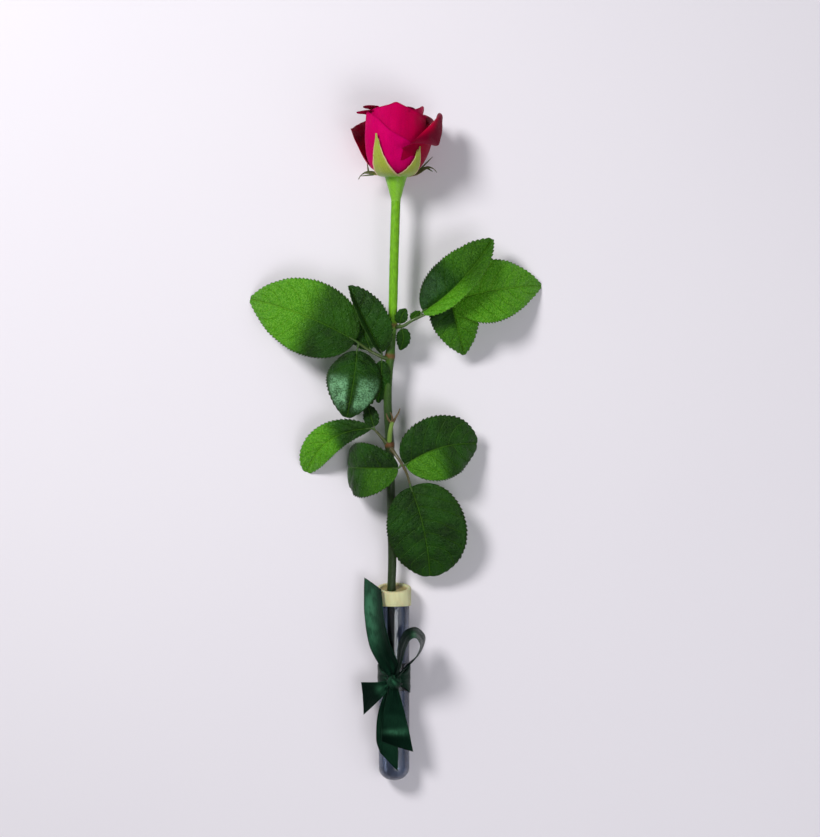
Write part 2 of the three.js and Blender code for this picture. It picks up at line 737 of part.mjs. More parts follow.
const ribbonEnds = {
  upperLeft: [
    [[0.9, knotY + 2, 29.5], [3.6, 1, 0.4]],
    [[-2.2, knotY + 10, 31.5], [6.2, 2.2, 2]],
    [[-10.8, knotY + 28, 30], [7.6, 2.5, 4.5]],
    [[-15.4, knotY + 51, 25], [7.4, -0.5, 6.8]],
    [[-16.1, knotY + 74.5, 20.5], [6.8, -4.3, 6.5]],
  ],
  lowerLeft: [
    [[-1.5, knotY - 2, 29], [0.5, 3, 0]],
    [[-10.8, knotY - 8, 28], [0, 6.8, -0.6]],
    [[-24.4, knotY - 15, 20], [-1, 12.4, -2]],
  ],
  front: [
    [[-0.7, knotY - 4, 30], [3.4, 0, 0.4]],
    [[0.1, knotY - 19, 32], [7, -0.4, 0]],
    [[1.2, knotY - 38.4, 32], [10.6, -2, -1]],
    [[4, knotY - 55.5, 28.4], [10.7, -0.8, -1]],
  ],
  back: [
    [[-2.2, knotY - 5, 28.6], [3.4, 0, -0.2]],
    [[-6.4, knotY - 26, 28], [6, -0.4, 0.6]],
    [[-5.4, knotY - 47, 27.4], [8.4, -2, 0.4]],
    [[-4, knotY - 63.5, 26.6], [7, -7.4, 0]],
  ],
};

const ribbonLoop = [
  [[1, knotY + 2, 30], [0.8, -0.5, 2.6]],
  [[4, knotY + 15, 36], [2, -1, 7]],
  [[6.6, knotY + 28, 39], [2.6, -1.6, 9.4]],
  [[11, knotY + 36, 40.5], [2, -2.6, 10]],
  [[17, knotY + 38, 40.5], [0, -3.4, 10.2]],
  [[22, knotY + 32, 39.5], [-2.2, -2.6, 10]],
  [[19, knotY + 21, 38], [-2.4, -2, 9]],
  [[9.6, knotY + 11, 34], [-1.6, -1.6, 6]],
  [[2, knotY + 2, 30], [-0.8, -0.6, 2.4]],
];

function ribbonBow() {
  const knot = new THREE.SphereGeometry(1, 10, 7);
  knot.scale(6, 6.6, 4);
  knot.translate(0, knotY - 1, tubeAxisHeight + tubeRadius + 4.6);
  const ends = Object.values(ribbonEnds).map((stations) => stripSolid(stations));
  return join([ribbonBand(), solidOf(knot), stripSolid(ribbonLoop, 16), ...ends]);
}

// ---- assembly ----
const finishes = {
  stem: { color: "#5f8f26", roughness: 0.5 },
  leaf: { color: "#1f5a14", roughness: 0.42 },
  calyx: { color: "#7fa638", roughness: 0.55 },
  petals: { color: "#b0053f", roughness: 0.6 },
  glass: { color: "#8d96ac", roughness: 0.05, transparent: true, opacity: 0.4 },
  water: { color: "#c3ccd6", roughness: 0.02, transparent: true, opacity: 0.5 },
  collar: { color: "#c9cb9c", roughness: 0.6 },
  ribbon: { color: "#0e3a28", roughness: 0.35 },
};

const rose = new THREE.Group();
function place(name, solid, finish) {
  const material = new THREE.MeshStandardMaterial({ metalness: 0, ...finishes[finish] });
  const mesh = new THREE.Mesh(geometryOf(solid), material);
  mesh.name = name;
  rose.add(mesh);
}

place("vase_tube", vaseTube(), "glass");
place("water", water(), "water");
place("collar", collar(), "collar");
place("stem", stem, "stem");
for (const [name, parts] of Object.entries(leaves)) place(name, leaf(parts), "leaf");
place("calyx", calyx(), "calyx");
place("petals", petals(), "petals");
place("ribbon_bow", ribbonBow(), "ribbon");

// The origin is the middle of the underside of the whole.
const bounds = new THREE.Box3().setFromObject(rose, true);
const middle = bounds.getCenter(vec(0, 0, 0));
rose.position.set(-middle.x, -middle.y, -bounds.min.z);

export default rose;
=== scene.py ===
# A long-stemmed rose in a slim glass tube vase, tied with a satin bow: finishes, floor, light and camera.
# Shapes are written in millimetres, from the middle of the collar's mouth: y towards the bloom, z up.
# They go into the scene in metres, at the place that the frame gives the collar.
import math
import bmesh
import bpy
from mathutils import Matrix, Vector, noise


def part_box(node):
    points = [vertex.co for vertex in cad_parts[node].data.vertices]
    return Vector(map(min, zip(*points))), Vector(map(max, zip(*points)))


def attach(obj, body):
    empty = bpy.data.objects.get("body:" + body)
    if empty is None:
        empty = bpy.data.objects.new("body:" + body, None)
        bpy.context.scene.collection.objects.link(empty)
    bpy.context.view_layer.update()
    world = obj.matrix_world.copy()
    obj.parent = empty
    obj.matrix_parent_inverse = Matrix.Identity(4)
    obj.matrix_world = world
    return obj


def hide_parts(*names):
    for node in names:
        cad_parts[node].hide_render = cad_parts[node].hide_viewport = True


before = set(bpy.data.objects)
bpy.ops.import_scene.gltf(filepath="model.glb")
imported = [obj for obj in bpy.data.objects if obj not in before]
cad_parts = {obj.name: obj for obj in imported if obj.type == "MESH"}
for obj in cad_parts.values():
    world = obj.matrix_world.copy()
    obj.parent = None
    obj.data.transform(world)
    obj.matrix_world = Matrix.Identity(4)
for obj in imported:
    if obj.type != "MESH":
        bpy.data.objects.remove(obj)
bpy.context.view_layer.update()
mm = 0.001
skirt = 11  # how far the collar reaches down the tube
collarLow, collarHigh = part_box("collar")
home = Vector(((collarLow.x + collarHigh.x) / 2, collarLow.y + skirt * mm, 0))
print("frame loaded, the collar's mouth is at", [round(v, 4) for v in home])


# small sums
def mix(a, b, t):
    return a + (b - a) * t


def ease(x, low, high):
    t = min(1.0, max(0.0, (x - low) / (high - low)))
    return t * t * (3 - 2 * t)


def bell(x, width):
    return math.exp(-(x / width) ** 2)


def ripple(x, y, z, size):
    return noise.noise(Vector((x, y, z)) / size)  # from -1 to 1, the same on every run


def bezier(line, t):
    k = 1 - t
    weights = (k * k * k, 3 * k * k * t, 3 * k * t * t, t * t * t)
    return tuple(sum(w * p[axis] for w, p in zip(weights, line)) for axis in (0, 1))


def curveAt(points, t):  # a smooth line through the points, t from 0 to 1
    spans = len(points) - 1
    spot = min(max(t, 0.0), 1.0) * spans
    index = min(int(spot), spans - 1)
    share = spot - index
    b, c = Vector(points[index]), Vector(points[index + 1])
    a = Vector(points[index - 1]) if index > 0 else 2 * b - c
    d = Vector(points[index + 2]) if index + 2 <= spans else 2 * c - b
    ab, bc, cd = [max((q - p).length ** 0.5, 1e-4) for p, q in ((a, b), (b, c), (c, d))]
    leave = ((b - a) / ab - (c - a) / (ab + bc) + (c - b) / bc) * bc
    arrive = ((c - b) / bc - (d - b) / (bc + cd) + (d - c) / cd) * bc
    s2, s3 = share ** 2, share ** 3
    return (b * (2 * s3 - 3 * s2 + 1) + leave * (s3 - 2 * s2 + share)
            + c * (3 * s2 - 2 * s3) + arrive * (s3 - s2))


def runsOf(points):  # how far along its line each point lies
    runs = [0.0]
    for p, q in zip(points, points[1:]):
        runs.append(runs[-1] + (q - p).length)
    return runs


def lineThrough(points, count):  # count + 1 points, evenly spaced along the smooth line
    pieces = 400
    fine = [curveAt(points, i / pieces) for i in range(pieces + 1)]
    run = runsOf(fine)
    spread, at = [], 0
    for i in range(count + 1):
        want = run[-1] * i / count
        while at < pieces - 1 and run[at + 1] < want:
            at += 1
        share = (want - run[at]) / max(run[at + 1] - run[at], 1e-9)
        spread.append(fine[at].lerp(fine[at + 1], share))
    return spread


# meshes: every point carries two small maps and one number, detail, that its finish reads:
# weave is (mm across, mm along, seed), place is (share across, share along, tone: 1 on the under side)
def newShape():
    return {"points": [], "faces": [], "slots": [], "weave": [], "place": [], "detail": []}


def addPoint(shape, point, weave, place, detail=0.0):
    for key, value in (("points", point), ("weave", weave), ("place", place), ("detail", detail)):
        shape[key].append(value)
    return len(shape["points"]) - 1


def addFace(shape, corners, slot=0):
    shape["faces"].append(tuple(corners))
    shape["slots"].append(slot)


def addSkin(shape, rings, sides, slot=0):  # the faces from ring to ring, where a ring can be a single point
    for low, high in zip(rings, rings[1:]):
        for k in range(sides):
            corners = [ring[i % len(ring)] for ring, i in ((low, k), (low, k + 1), (high, k + 1), (high, k))]
            addFace(shape, dict.fromkeys(corners), slot)


def addCap(shape, ring, middle, slot=0):
    for k, corner in enumerate(ring):
        addFace(shape, (corner, ring[(k + 1) % len(ring)], middle), slot)


def makeGrid(rows, columns, cellAt):  # cellAt(t, u) with t along, from 0 to 1, and u across, from -1 to 1
    return [[cellAt(i / rows, 2 * j / columns - 1) for j in range(columns + 1)] for i in range(rows + 1)]


def addBlade(shape, grid, depths, seed=0.0, toneAt=lambda across, along: 0.0):
    # grid rows hold (point, mm across, mm along, share across, share along, detail); depths(i, j) is how
    # far the upper and the under side stand off there; toneAt gives the upper side's tone by the shares
    rows, columns = len(grid), len(grid[0])
    layers = ([], [])
    for i in range(rows):
        for j in range(columns):
            point, across, along, shareAcross, shareAlong, detail = grid[i][j]
            lengthwise = grid[min(i + 1, rows - 1)][j][0] - grid[max(i - 1, 0)][j][0]
            sideways = grid[i][min(j + 1, columns - 1)][0] - grid[i][max(j - 1, 0)][0]
            normal = sideways.cross(lengthwise).normalized()
            over, below = depths(i, j)
            for layer, depth, tone in zip(layers, (over, -below), (toneAt(shareAcross, shareAlong), 1.0)):
                place = (shareAcross, shareAlong, tone)
                layer.append(addPoint(shape, point + normal * depth, (across, along, seed), place, detail))
    for side, layer in enumerate(layers):
        for i in range(rows - 1):
            for j in range(columns - 1):
                a = i * columns + j
                quad = [layer[a], layer[a + 1], layer[a + columns + 1], layer[a + columns]]
                addFace(shape, quad[::-1] if side else quad)
    rim = [j for j in range(columns - 1)]
    rim += [i * columns + columns - 1 for i in range(rows - 1)]
    rim += [(rows - 1) * columns + j for j in range(columns - 1, 0, -1)]
    rim += [i * columns for i in range(rows - 1, 0, -1)]
    for a, b in zip(rim, rim[1:] + rim[:1]):
        addFace(shape, (layers[0][b], layers[0][a], layers[1][a], layers[1][b]))


def addBar(shape, line, radiusAt, sides, seed=0.0, slot=0, alongAt=None, detailAt=lambda t: 0.0, squash=1.0):
    # a round bar along a list of points, its frame carried on from one point to the next
    forward = (line[1] - line[0]).normalized()
    side = forward.cross(Vector((0, 0, 1)))
    side = side.normalized() if side.length > 0.1 else Vector((1, 0, 0))
    rings = []
    for i, (centre, run) in enumerate(zip(line, runsOf(line))):
        forward = (line[min(i + 1, len(line) - 1)] - line[max(i - 1, 0)]).normalized()
        side = (side - forward * side.dot(forward)).normalized()
        up = side.cross(forward)
        share = i / (len(line) - 1)
        along = alongAt(centre) if alongAt else run
        ring = []
        for k in range(sides):
            angle = 2 * math.pi * k / sides
            radius = radiusAt(share, angle)
            spot = centre + side * (radius * math.cos(angle)) + up * (radius * squash * math.sin(angle))
            place = (math.cos(angle), share, 0)
            ring.append(addPoint(shape, spot, (angle * radius, along, seed), place, detailAt(share)))
        rings.append(ring)
    addSkin(shape, rings, sides, slot)
    for end, share in ((0, 0), (-1, 1)):
        along = alongAt(line[end]) if alongAt else 0
        middle = addPoint(shape, line[end], (0, along, seed), (0, share, 0), detailAt(share))
        addCap(shape, rings[end], middle, slot)


def addLathe(shape, profile, sides, spotAt):
    # profile is a list of (radius, height); spotAt(radius, height, angle) is where that point goes
    rings, run = [], 0.0
    for index, (radius, height) in enumerate(profile):
        if index:
            run += math.hypot(radius - profile[index - 1][0], height - profile[index - 1][1])
        ring = []
        for k in range(sides if radius else 1):
            angle = 2 * math.pi * k / sides
            place = (math.cos(angle), index / (len(profile) - 1), 0)
            ring.append(addPoint(shape, spotAt(radius, height, angle), (angle * radius, run, 0.0), place))
        rings.append(ring)
    addSkin(shape, rings, sides)


def keepAbove(shape, lowest):  # nothing goes below lowest(x, y)
    shape["points"] = [Vector((p.x, p.y, max(p.z, lowest(p.x, p.y)))) for p in shape["points"]]


def addObject(name, data):
    thing = bpy.data.objects.new(name, data)
    bpy.context.scene.collection.objects.link(thing)
    return thing


def makePiece(shape, name, finishes, node, softening=0):
    mesh = bpy.data.meshes.new(name)
    mesh.from_pydata([(p * mm + home)[:] for p in shape["points"]], [], shape["faces"])
    for key in ("weave", "place"):
        layer = mesh.attributes.new(key, "FLOAT_VECTOR", "POINT")
        layer.data.foreach_set("vector", [x for v in shape[key] for x in v])
    mesh.attributes.new("detail", "FLOAT", "POINT").data.foreach_set("value", shape["detail"])
    for finish in finishes:
        mesh.materials.append(finish)
    mesh.polygons.foreach_set("material_index", shape["slots"])
    mesh.polygons.foreach_set("use_smooth", [True] * len(shape["faces"]))
    bm = bmesh.new()
    bm.from_mesh(mesh)
    bmesh.ops.recalc_face_normals(bm, faces=bm.faces)
    bm.to_mesh(mesh)
    bm.free()
    piece = addObject(name, mesh)
    if softening:
        soft = piece.modifiers.new("softening", "SUBSURF")
        soft.levels = soft.render_levels = softening
    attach(piece, "root")
    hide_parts(node)
    print(name, "made with", len(shape["faces"]), "faces")
    return piece


# node helpers
def paint(r, g, b):  # a colour as a paint chart gives it, 0 to 255
    spread = [c / 255 for c in (r, g, b)]
    return (*[c / 12.92 if c <= 0.04045 else ((c + 0.055) / 1.055) ** 2.4 for c in spread], 1.0)


def paintsOf(piece):
    return {name: paint(*tone) for name, tone in piece["colours"].items()}


def addNode(tree, kind, **settings):
    node = tree.nodes.new(kind)
    for name, value in settings.items():
        setattr(node, name, value)
    return node


def isSocket(value):
    return hasattr(value, "is_output")


def treeOf(*values):  # where the first socket among the values is
    return next(value.id_data for value in values if isSocket(value))


def feed(socket, value):
    if isSocket(value):
        socket.id_data.links.new(value, socket)
    else:
        socket.default_value = value


def feedAll(node, **values):
    for name, value in values.items():
        feed(node.inputs[name.replace("_", " ")], value)
    return node.outputs


def calc(operation, *values, clamp=False):
    node = addNode(treeOf(*values), "ShaderNodeMath", operation=operation, use_clamp=clamp)
    for socket, value in zip(node.inputs, values):
        feed(socket, value)
    return node.outputs[0]


def plus(first, second):
    return calc("ADD", first, second)


def times(first, second, clamp=False):
    return calc("MULTIPLY", first, second, clamp=clamp)


def span(value, low, high, start=0.0, end=1.0):  # a soft step from start to end
    node = addNode(treeOf(value), "ShaderNodeMapRange", interpolation_type="SMOOTHSTEP")
    return feedAll(node, Value=value, From_Min=low, From_Max=high, To_Min=start, To_Max=end)["Result"]


def tint(factor, first, second, kind="MIX"):
    node = addNode(treeOf(factor, first, second), "ShaderNodeMix", data_type="RGBA", blend_type=kind)
    for index, value in ((0, factor), (6, first), (7, second)):
        feed(node.inputs[index], value)
    return node.outputs[2]


def layered(base, look, *layers):  # (mask, strength, name of the colour) over what is there, one by one
    for mask, strength, name in layers:
        base = tint(mask if strength == 1 else times(mask, strength), base, look[name])
    return base


def steps(factor, stops):  # a colour ramp from (place, colour) stops
    node = addNode(treeOf(factor), "ShaderNodeValToRGB")
    while len(node.color_ramp.elements) < len(stops):
        node.color_ramp.elements.new(1.0)
    for element, (place, colour) in zip(node.color_ramp.elements, stops):
        element.position = place
        element.color = colour
    feed(node.inputs[0], factor)
    return node.outputs[0]


def stretch(vector, across, along):
    node = addNode(treeOf(vector), "ShaderNodeVectorMath", operation="MULTIPLY")
    feed(node.inputs[0], vector)
    feed(node.inputs[1], (across, along, 1))
    return node.outputs[0]


def cloud(vector, scale=1.0, detail=3.0, roughness=0.5, distortion=0.0):
    node = addNode(treeOf(vector), "ShaderNodeTexNoise")
    values = dict(Vector=vector, Scale=scale, Detail=detail, Roughness=roughness, Distortion=distortion)
    return feedAll(node, **values)["Fac"]


def mapOf(tree, name):  # one of the two maps that the mesh carries
    return addNode(tree, "ShaderNodeAttribute", attribute_name=name).outputs["Vector"]


def partsOf(vector):
    return feedAll(addNode(treeOf(vector), "ShaderNodeSeparateXYZ"), Vector=vector)[:]


def numberOf(tree):
    return addNode(tree, "ShaderNodeAttribute", attribute_name="detail").outputs["Fac"]


def newFinish(name, **values):  # a material, with the values that are the same all over on its shader
    finish = bpy.data.materials.new(name)
    finish.use_nodes = True
    for key, value in values.items():
        finish.node_tree.nodes["Principled BSDF"].inputs[key.replace("_", " ")].default_value = value
    return finish, finish.node_tree


def dress(finish, colour, roughness, height, depth, strength):  # what changes over the surface
    tree = finish.node_tree
    bump = addNode(tree, "ShaderNodeBump")
    normal = feedAll(bump, Strength=strength, Distance=depth, Height=height)["Normal"]
    feedAll(tree.nodes["Principled BSDF"], Base_Color=colour, Roughness=roughness, Normal=normal)
    return finish


def newGroup(name, inputs, outputs):  # inputs are a Map and the numbers named; outputs are numbers
    tree = bpy.data.node_groups.new(name, "ShaderNodeTree")
    tree.interface.new_socket(name="Map", in_out="INPUT", socket_type="NodeSocketVector")
    for label, value in inputs.items():
        socket = tree.interface.new_socket(name=label, in_out="INPUT", socket_type="NodeSocketFloat")
        socket.default_value = value
    for label in outputs:
        tree.interface.new_socket(name=label, in_out="OUTPUT", socket_type="NodeSocketFloat")
    return tree, addNode(tree, "NodeGroupInput").outputs, addNode(tree, "NodeGroupOutput").inputs


def useGroup(group, **values):
    return feedAll(addNode(treeOf(*values.values()), "ShaderNodeGroup", node_tree=group), **values)


# effects that several finishes share
def makeFineVeins():
    # the closed net of the smallest veins: Lines is 1 on a vein, Height is the soft cushion between them
    tree, given, result = newGroup("fineVeins", {"Size": 1.5, "Width": 0.12}, ("Lines", "Height"))
    wander = feedAll(addNode(tree, "ShaderNodeTexNoise"), Vector=given["Map"], Scale=0.5)["Color"]
    warped = addNode(tree, "ShaderNodeVectorMath", operation="ADD")
    feed(warped.inputs[0], given["Map"])
    feed(warped.inputs[1], wander)
    net = addNode(tree, "ShaderNodeTexVoronoi", feature="DISTANCE_TO_EDGE")
    scale = calc("DIVIDE", 1.0, given["Size"])
    distance = feedAll(net, Vector=warped.outputs[0], Scale=scale)["Distance"]
    feed(result["Lines"], span(distance, 0.0, given["Width"], 1.0, 0.0))
    feed(result["Height"], span(distance, 0.0, 0.4))
    return tree


def makePatches():
    # broad patches and fine mottling of colour, both from 0 to 1
    tree, given, result = newGroup("patches", {"Size": 20.0, "Fine": 2.0}, ("Broad", "Mottle"))
    for label, size, detail in (("Broad", "Size", 2.0), ("Mottle", "Fine", 4.0)):
        fog = cloud(given["Map"], calc("DIVIDE", 1.0, given[size]), detail, 0.55)
        feed(result[label], span(fog, 0.32, 0.68))
    return tree


fineVeins = makeFineVeins()
patches = makePatches()


# the stem
stemLook = {
    "radius": 3.3,
    "neckRadius": 3.6,  # it thickens a little towards the bloom
    "widens": (150, 300),
    "line": [
        (-0.5, -116, 10.5), (-1.5, -60, 12), (-2, 1, 13.3), (-1.4, 25, 14.6), (-2.3, 72, 17), (-3.5, 117, 19),
        (-5, 150, 20.5), (-4.6, 165, 21.5), (-2.3, 192, 23), (-1.1, 212, 24.2), (0.1, 258, 27),
        (1.5, 305.1, 28.37),
    ],
    "joints": [115, 184, 208],  # where the leaves leave it
    "swelling": 0.7,
    "swellingWidth": 3.5,
    "shootFrom": 117,
    "budFrom": 210,
    "colours": {
        "young": (114, 180, 8),  # near the bloom
        "middle": (52, 92, 12),
        "oldStemAndShade": (32, 54, 18),  # down in the vase: the older stem's green, darkened further as painted shade
        "joint": (112, 62, 34),
        "withered": (96, 78, 52),
        "shoot": (112, 142, 62),
        "pores": (176, 186, 120),
    },
}
# detail tells the finish what it is on: 0 the stem, about 0.3 to 0.5 the green shoot, 1 its withered tips


def stemRadiusAt(y):
    swell = max(bell(y - joint, stemLook["swellingWidth"]) for joint in stemLook["joints"])
    radius = mix(stemLook["radius"], stemLook["neckRadius"], ease(y, *stemLook["widens"]))
    return radius + stemLook["swelling"] * swell


def stemPointAt(y):
    tries = 600
    return min((curveAt(stemLook["line"], i / tries) for i in range(tries + 1)), key=lambda p: abs(p.y - y))


def makeStemBark():
    finish, tree = newFinish("stemBark", Roughness=0.45, Specular_IOR_Level=0.3)
    weave = mapOf(tree, "weave")
    along = partsOf(weave)[1]
    look = paintsOf(stemLook)
    foot, whole, waver = -120.0, 450.0, 16.0  # the colours change along this run, with a wavering edge
    height = plus(along, times(cloud(stretch(weave, 0.5, 0.06)), waver))
    height = calc("DIVIDE", plus(height, -foot), whole)
    # darker downwards: the older stem's own green, and painted shade low in the vase
    base = steps(height, [
        (0.0, look["oldStemAndShade"]), (0.55, look["oldStemAndShade"]), (0.66, look["middle"]),
        (0.72, look["middle"]), (0.77, look["young"]), (1.0, look["young"]),
    ])
    mottled = useGroup(patches, Map=stretch(weave, 1, 0.25), Size=9.0, Fine=1.2)
    base = tint(times(mottled["Mottle"], 0.35), base, look["oldStemAndShade"], "MULTIPLY")
    rings = 0.0
    for joint in stemLook["joints"]:
        away = calc("ABSOLUTE", calc("SUBTRACT", along, float(joint)))
        rings = calc("MAXIMUM", rings, span(away, 0.3, 3.2, 1.0, 0.0))
    specks = addNode(tree, "ShaderNodeTexVoronoi", feature="F1")
    specks = feedAll(specks, Vector=stretch(weave, 0.7, 0.3))["Distance"]
    pores = span(specks, 0.1, 0.2, 1.0, 0.0)
    part = numberOf(tree)
    base = layered(
        base, look, (rings, 0.7, "joint"), (span(part, 0.2, 0.3), 1, "shoot"),
        (span(part, 0.5, 0.85), 1, "withered"), (pores, 0.35, "pores"),
    )
    ridges = cloud(stretch(weave, 1.4, 0.08), detail=4.0)
    roughness = span(mottled["Mottle"], 0.0, 1.0, 0.38, 0.55)
    return dress(finish, base, roughness, plus(ridges, times(pores, 0.5)), 0.00035, 0.7)


def makeStem():
    shape = newShape()
    count = 240
    line = lineThrough(stemLook["line"], count)

    def radiusAt(share, angle):
        y = line[min(count, round(share * count))].y
        return stemRadiusAt(y) + 0.12 * ripple(2 * math.cos(angle), y * 0.35, 2 * math.sin(angle), 2.2)

    addBar(shape, line, radiusAt, 28, alongAt=lambda p: p.y)
    foot = stemPointAt(stemLook["shootFrom"]) + Vector((0, 0, stemLook["radius"] * 0.6))
    shoot = [foot + Vector(p) for p in ((0, 0, 0), (0.6, 8, 4), (2.4, 16, 6))]
    addBar(shape, lineThrough(shoot, 24), lambda t, a: 2 - 0.5 * t + 0.3 * bell(t - 1, 0.1), 14,
           detailAt=lambda t: mix(0.32, 0.5, ease(t, 0.5, 1)))
    witheredTips = [
        [(2, 14, 5.4), (-1, 18, 7), (-2.6, 22, 6.6)],
        [(2, 14, 5.6), (5, 19, 8.4), (7, 22.5, 8), (8.2, 26, 9.4)],
        [(1.8, 14, 5.6), (2.4, 19, 8.6), (0.6, 23, 9.4)],
    ]

    def shrivelled(t, angle):
        return (1.15 - 0.8 * t) * (1 + 0.22 * math.sin(3 * angle + 9 * t))

    for seed, tip in enumerate(witheredTips):
        points = [foot + Vector(p) for p in tip]
        addBar(shape, lineThrough(points, 18), shrivelled, 10, seed, detailAt=lambda t: 1.0)
    bud = stemPointAt(stemLook["budFrom"]) + Vector((-3.2, 0.5, 1.2))  # asleep in the leaf's armpit
    budLine = lineThrough([bud + Vector(p) for p in ((1.6, -1.6, 0), (0, 0, 0), (-1.3, 2.6, 0.7))], 10)
    addBar(shape, budLine, lambda t, a: 1.25 * math.sin(math.pi * mix(0.25, 1, t)) ** 0.7 + 0.05, 10,
           detailAt=lambda t: 0.3)
    makePiece(shape, "stem_bark", [makeStemBark()], "stem")


makeStem()


# the vase: glass tube, water and rubber collar
vaseLook = {
    "radius": 12.0,
    "wall": 1.4,
    "mouth": -2.5,
    "foot": -148.0,
    "axis": 13.0,  # height of the tube's middle line
    "waterLevel": 7.5,  # above that line
    "collarRadius": 13.4,
    "collarSlant": 12.8,
    "colours": {
        "glass": (210, 217, 232),
        "glassStreak": (206, 214, 228),
        "water": (206, 214, 228),
        "waterHaze": (204, 214, 222),
        "rubber": (214, 214, 168),
        "rubberShade": (150, 136, 84),
    },
}
tubeRadius, tubeWall, tubeMouth, tubeFoot = [vaseLook[key] for key in ("radius", "wall", "mouth", "foot")]
tubeInner = tubeRadius - tubeWall


def roundTube(radius, y, angle):
    return Vector((-radius * math.sin(angle), y, vaseLook["axis"] - radius * math.cos(angle)))


def footProfile(radius, foot, depth, count=10):  # a round end, from its middle out to the radius
    turns = [math.pi / 2 * k / count for k in range(count + 1)]
    return [(radius * math.sin(a) if a else 0, foot + depth * (1 - math.cos(a))) for a in turns]


def makeTubeGlass():
    finish, tree = newFinish("smokyGlass", Roughness=0.03, IOR=1.5, Transmission_Weight=1.0)
    weave = mapOf(tree, "weave")
    streaks = cloud(stretch(weave, 0.5, 0.012), detail=2.0)  # the long draw lines of tube glass
    look = paintsOf(vaseLook)
    base = layered(look["glass"], look, (span(streaks, 0.35, 0.7), 1, "glassStreak"))
    smudge = useGroup(patches, Map=weave, Size=30.0, Fine=4.0)["Broad"]
    return dress(finish, base, span(smudge, 0.2, 1.0, 0.02, 0.07), streaks, 0.0002, 0.35)


def makeTube():
    shape = newShape()
    outside = footProfile(tubeRadius, tubeFoot, tubeRadius - 2)
    inside = footProfile(tubeInner, tubeFoot + tubeWall, tubeInner - 1.2)
    outside += [(tubeRadius, mix(outside[-1][1], tubeMouth - 0.5, i / 10)) for i in range(1, 11)]
    lip = [
        (tubeRadius - 0.2, tubeMouth - 0.1), (tubeRadius - 0.5, tubeMouth),
        (tubeInner + 0.5, tubeMouth), (tubeInner + 0.2, tubeMouth - 0.1),
    ]
    wallDown = [(tubeInner, mix(tubeMouth - 0.5, inside[-1][1], i / 10)) for i in range(10)]
    addLathe(shape, outside + lip + wallDown + inside[::-1], 96, roundTube)
    makePiece(shape, "tube_glass", [makeTubeGlass()], "vase_tube")


def makeWaterFinish():
    finish, tree = newFinish("stillWater", IOR=1.333, Transmission_Weight=1.0)
    weave = mapOf(tree, "weave")
    haze = useGroup(patches, Map=weave, Size=24.0, Fine=3.0)["Broad"]
    look = paintsOf(vaseLook)
    base = layered(look["water"], look, (haze, 1, "waterHaze"))
    return dress(finish, base, 0.0, cloud(weave, 0.08), 0.0002, 0.2)


def makeWater():
    # rings from the foot to the mouth: round, but cut off flat at the water's level, and raised at the glass
    shape = newShape()
    touch = 0.03  # it reaches this far into the glass, so that no air shows between them
    profile = footProfile(tubeInner + touch, tubeFoot + tubeWall - touch, tubeInner - 1.2, 8)
    top = tubeMouth - 1.0
    profile += [(tubeInner + touch, mix(profile[-1][1], top, i / 12)) for i in range(1, 13)] + [(0, top)]
    level = vaseLook["axis"] + vaseLook["waterLevel"]
    halfWidth = math.sqrt(max(tubeInner ** 2 - vaseLook["waterLevel"] ** 2, 0))

    def cutRound(radius, y, angle):
        spot = roundTube(radius, y, angle)
        if spot.z > level:
            spot.z = level + 0.9 * min(1.0, abs(spot.x) / halfWidth) ** 12
        return spot

    addLathe(shape, profile, 72, cutRound)
    makePiece(shape, "water_body", [makeWaterFinish()], "water")


def makeRubber():
    finish, tree = newFinish(
        "creamRubber", Roughness=0.55, Specular_IOR_Level=0.4, Subsurface_Weight=0.25, Subsurface_Scale=0.004,
    )
    weave = mapOf(tree, "weave")
    mottled = useGroup(patches, Map=weave, Size=7.0, Fine=0.8)
    look = paintsOf(vaseLook)
    # the darker colour makes random broad patches, and painted shade where the collar's detail number says
    base = layered(
        look["rubber"], look, (mottled["Broad"], 0.4, "rubberShade"), (numberOf(tree), 1, "rubberShade")
    )
    roughness = span(mottled["Mottle"], 0.0, 1.0, 0.45, 0.65)
    return dress(finish, base, roughness, mottled["Mottle"], 0.00012, 0.6)


